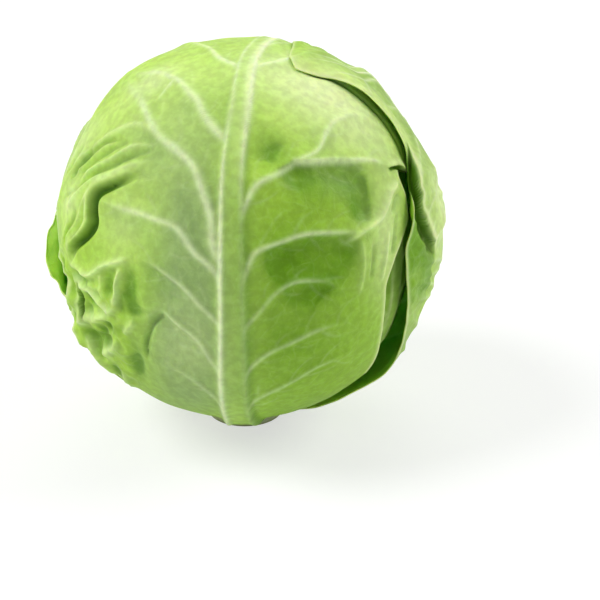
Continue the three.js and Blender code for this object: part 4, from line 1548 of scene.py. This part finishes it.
# pale is mostly painted highlight, and on the under leaf at the left a bleached patch
color = wires.mixed(wires.mask("pale"), color, given["Pale"])
lines = wires.maths("MULTIPLY", net, fed.outputs["Net"])
lines = wires.maths("MULTIPLY", lines, wires.between(mottle, 0.35, 0.65, 0.25, 1.0))
color = wires.mixed(lines, color, given["Pale"])
color = wires.mixed(weighed("vein", 0.75), color, given["Vein"])
rib_green = wires.mixed(0.7, given["Vein"], given["Blade"])
color = wires.mixed(weighed("rib", 0.7), color, rib_green)
color = wires.mixed(weighed("crest", 0.85), color, given["Vein"])
color = wires.mixed(1.0, color, wires.between(mottle, 0.3, 0.7, 0.9, 1.08), "MULTIPLY")
color = wires.mixed(weighed("margin", 0.7), color, given["Pale"])
color = wires.mixed(weighed("inside", 0.6), color, given["Fresh"])
# painted shade in creases, and under the right leaf's margin
color = wires.mixed(wires.mask("crease"), color, CREASE_SHADE_GREEN)
wires.join(color, result.inputs["Color"])

rough = wires.maths("ADD", wires.between(blotch, 0.3, 0.7, 0.38, 0.5), weighed("bloom", 0.14))
rough = wires.maths("ADD", rough, wires.maths("MULTIPLY", grain, 0.06))
wires.join(rough, result.inputs["Roughness"])
height = wires.maths("MULTIPLY", net, 0.2)
height = wires.maths("ADD", height, wires.maths("MULTIPLY", mottle, 0.8))
height = wires.maths("ADD", height, wires.maths("MULTIPLY", grain, 0.12))
wires.join(height, result.inputs["Height"])
leaf_skin = wires.tree
print("leaf skin group", len(leaf_skin.nodes), "nodes")

# %% [markdown]
# ## Leaf materials
#
# The wrappers grew in daylight, and they hang free, so some light passes through them. The leaves
# under them are a deeper green where they show, and the ball inside, which daylight never reached,
# is cream. Subsurface light softens the shading, green more than red and blue, and a low specular
# level keeps the wax from looking like plastic.

# %% Leaf materials


def add_bump(wires, skin, height, strength):
    """Bump on a shader, from a height."""
    raised = wires.node("ShaderNodeBump")
    raised.inputs["Strength"].default_value = strength
    raised.inputs["Distance"].default_value = BUMP_DISTANCE
    wires.join(height, raised.inputs["Height"])
    wires.join(raised.outputs["Normal"], skin.inputs["Normal"])


def leaf_material(name, bump, subsurface, **colors):
    """A leaf's finish: the leaf skin group on one shader, with light spreading a little inside."""
    made, tree, output = new_material(name)
    wires = Wires(tree)
    skin = wires.node("ShaderNodeBsdfPrincipled")
    group = wires.node("ShaderNodeGroup", node_tree=leaf_skin)
    for label, value in colors.items():
        group.inputs[label].default_value = value if isinstance(value, float) else (*value, 1)
    wires.join(group.outputs["Color"], skin.inputs["Base Color"])
    wires.join(group.outputs["Roughness"], skin.inputs["Roughness"])
    add_bump(wires, skin, group.outputs["Height"], bump)
    skin.inputs["Subsurface Weight"].default_value = subsurface
    skin.inputs["Subsurface Radius"].default_value = (0.6, 1.0, 0.12)
    skin.inputs["Subsurface Scale"].default_value = 0.003
    skin.inputs["Specular IOR Level"].default_value = 0.18
    wires.join(skin.outputs[0], output.inputs["Surface"])
    return made


wrapper = leaf_material("Wrapper leaf", 0.8, 0.4)
under = leaf_material(
    "Under leaf", 0.6, 0.2,
    Blade=(0.28, 0.52, 0.05), Deep=(0.10, 0.29, 0.01), Fresh=(0.36, 0.63, 0.06),
    Bloom=(0.34, 0.5, 0.14), Pale=(0.6, 0.78, 0.28), Vein=(0.55, 0.72, 0.26), Net=0.15,
)
inner = leaf_material(
    "Inner leaf", 0.6, 0.25,
    Blade=(0.72, 0.78, 0.40), Deep=(0.55, 0.68, 0.22), Fresh=(0.76, 0.83, 0.38),
    Bloom=(0.74, 0.78, 0.5), Pale=(0.88, 0.9, 0.62), Vein=(0.88, 0.88, 0.66), Net=0.15,
)
for pieces, material, slot in (
    ((front_leaf, right_leaf, left_leaf), wrapper, "wrapper_leaf"),
    (under_leaves, under, "under_leaf"),
    ((*inner_leaves, heart), inner, "inner_leaf"),
):
    for piece in pieces:
        piece.data.materials.append(material)
print("leaf materials", wrapper.name, under.name, inner.name)

# %% [markdown]
# ## Stem material
#
# A cut stem shows three rings: soft pale pith, a tougher wood ring round it and a thin green
# skin. The knife's cut has dried brown in patches. The rings follow the distance from the stem's
# axis, so they are worked out from Object coordinates, whose origin is on that axis.

# %% Stem material
made, tree, output = new_material("Stem flesh")
wires = Wires(tree)
skin = wires.node("ShaderNodeBsdfPrincipled")
place = wires.node("ShaderNodeTexCoord").outputs["Object"]  # metres, from the cut face's middle
parts = wires.node("ShaderNodeSeparateXYZ")
wires.join(place, parts.inputs[0])
squared = [wires.maths("MULTIPLY", parts.outputs[k], parts.outputs[k]) for k in (0, 1)]
radius = wires.maths("SQRT", wires.maths("ADD", *squared))
fibres = wires.noise(place, 900, 4).outputs["Fac"]
patches = wires.noise(place, 140, 4).outputs["Fac"]
ring = wires.between(radius, 0.0105, 0.0135)
bark = wires.between(radius, 0.0162, 0.0176)
on_cut = wires.between(parts.outputs[2], 0.0004, 0.0012, 1.0, 0.0)
threads = wires.between(fibres, 0.3, 0.7)
pith = wires.mixed(threads, (0.80, 0.78, 0.55, 1), (0.88, 0.87, 0.68, 1))
wood = wires.mixed(threads, (0.66, 0.62, 0.36, 1), (0.76, 0.74, 0.50, 1))
dried = wires.maths("MULTIPLY", wires.between(patches, 0.5, 0.75), 0.5)
face = wires.mixed(dried, wires.mixed(ring, pith, wood), (0.42, 0.30, 0.13, 1))
side = wires.mixed(wires.between(patches, 0.3, 0.7), (0.66, 0.72, 0.40, 1), (0.82, 0.84, 0.60, 1))
color = wires.mixed(on_cut, side, wires.mixed(bark, face, (0.5, 0.52, 0.22, 1)))
wires.join(color, skin.inputs["Base Color"])
wires.join(wires.between(fibres, 0.3, 0.7, 0.5, 0.72), skin.inputs["Roughness"])
add_bump(wires, skin, fibres, 0.6)
wires.join(skin.outputs[0], output.inputs["Surface"])
stem.data.materials.append(made)
print("materials", [m.name for m in bpy.data.materials])
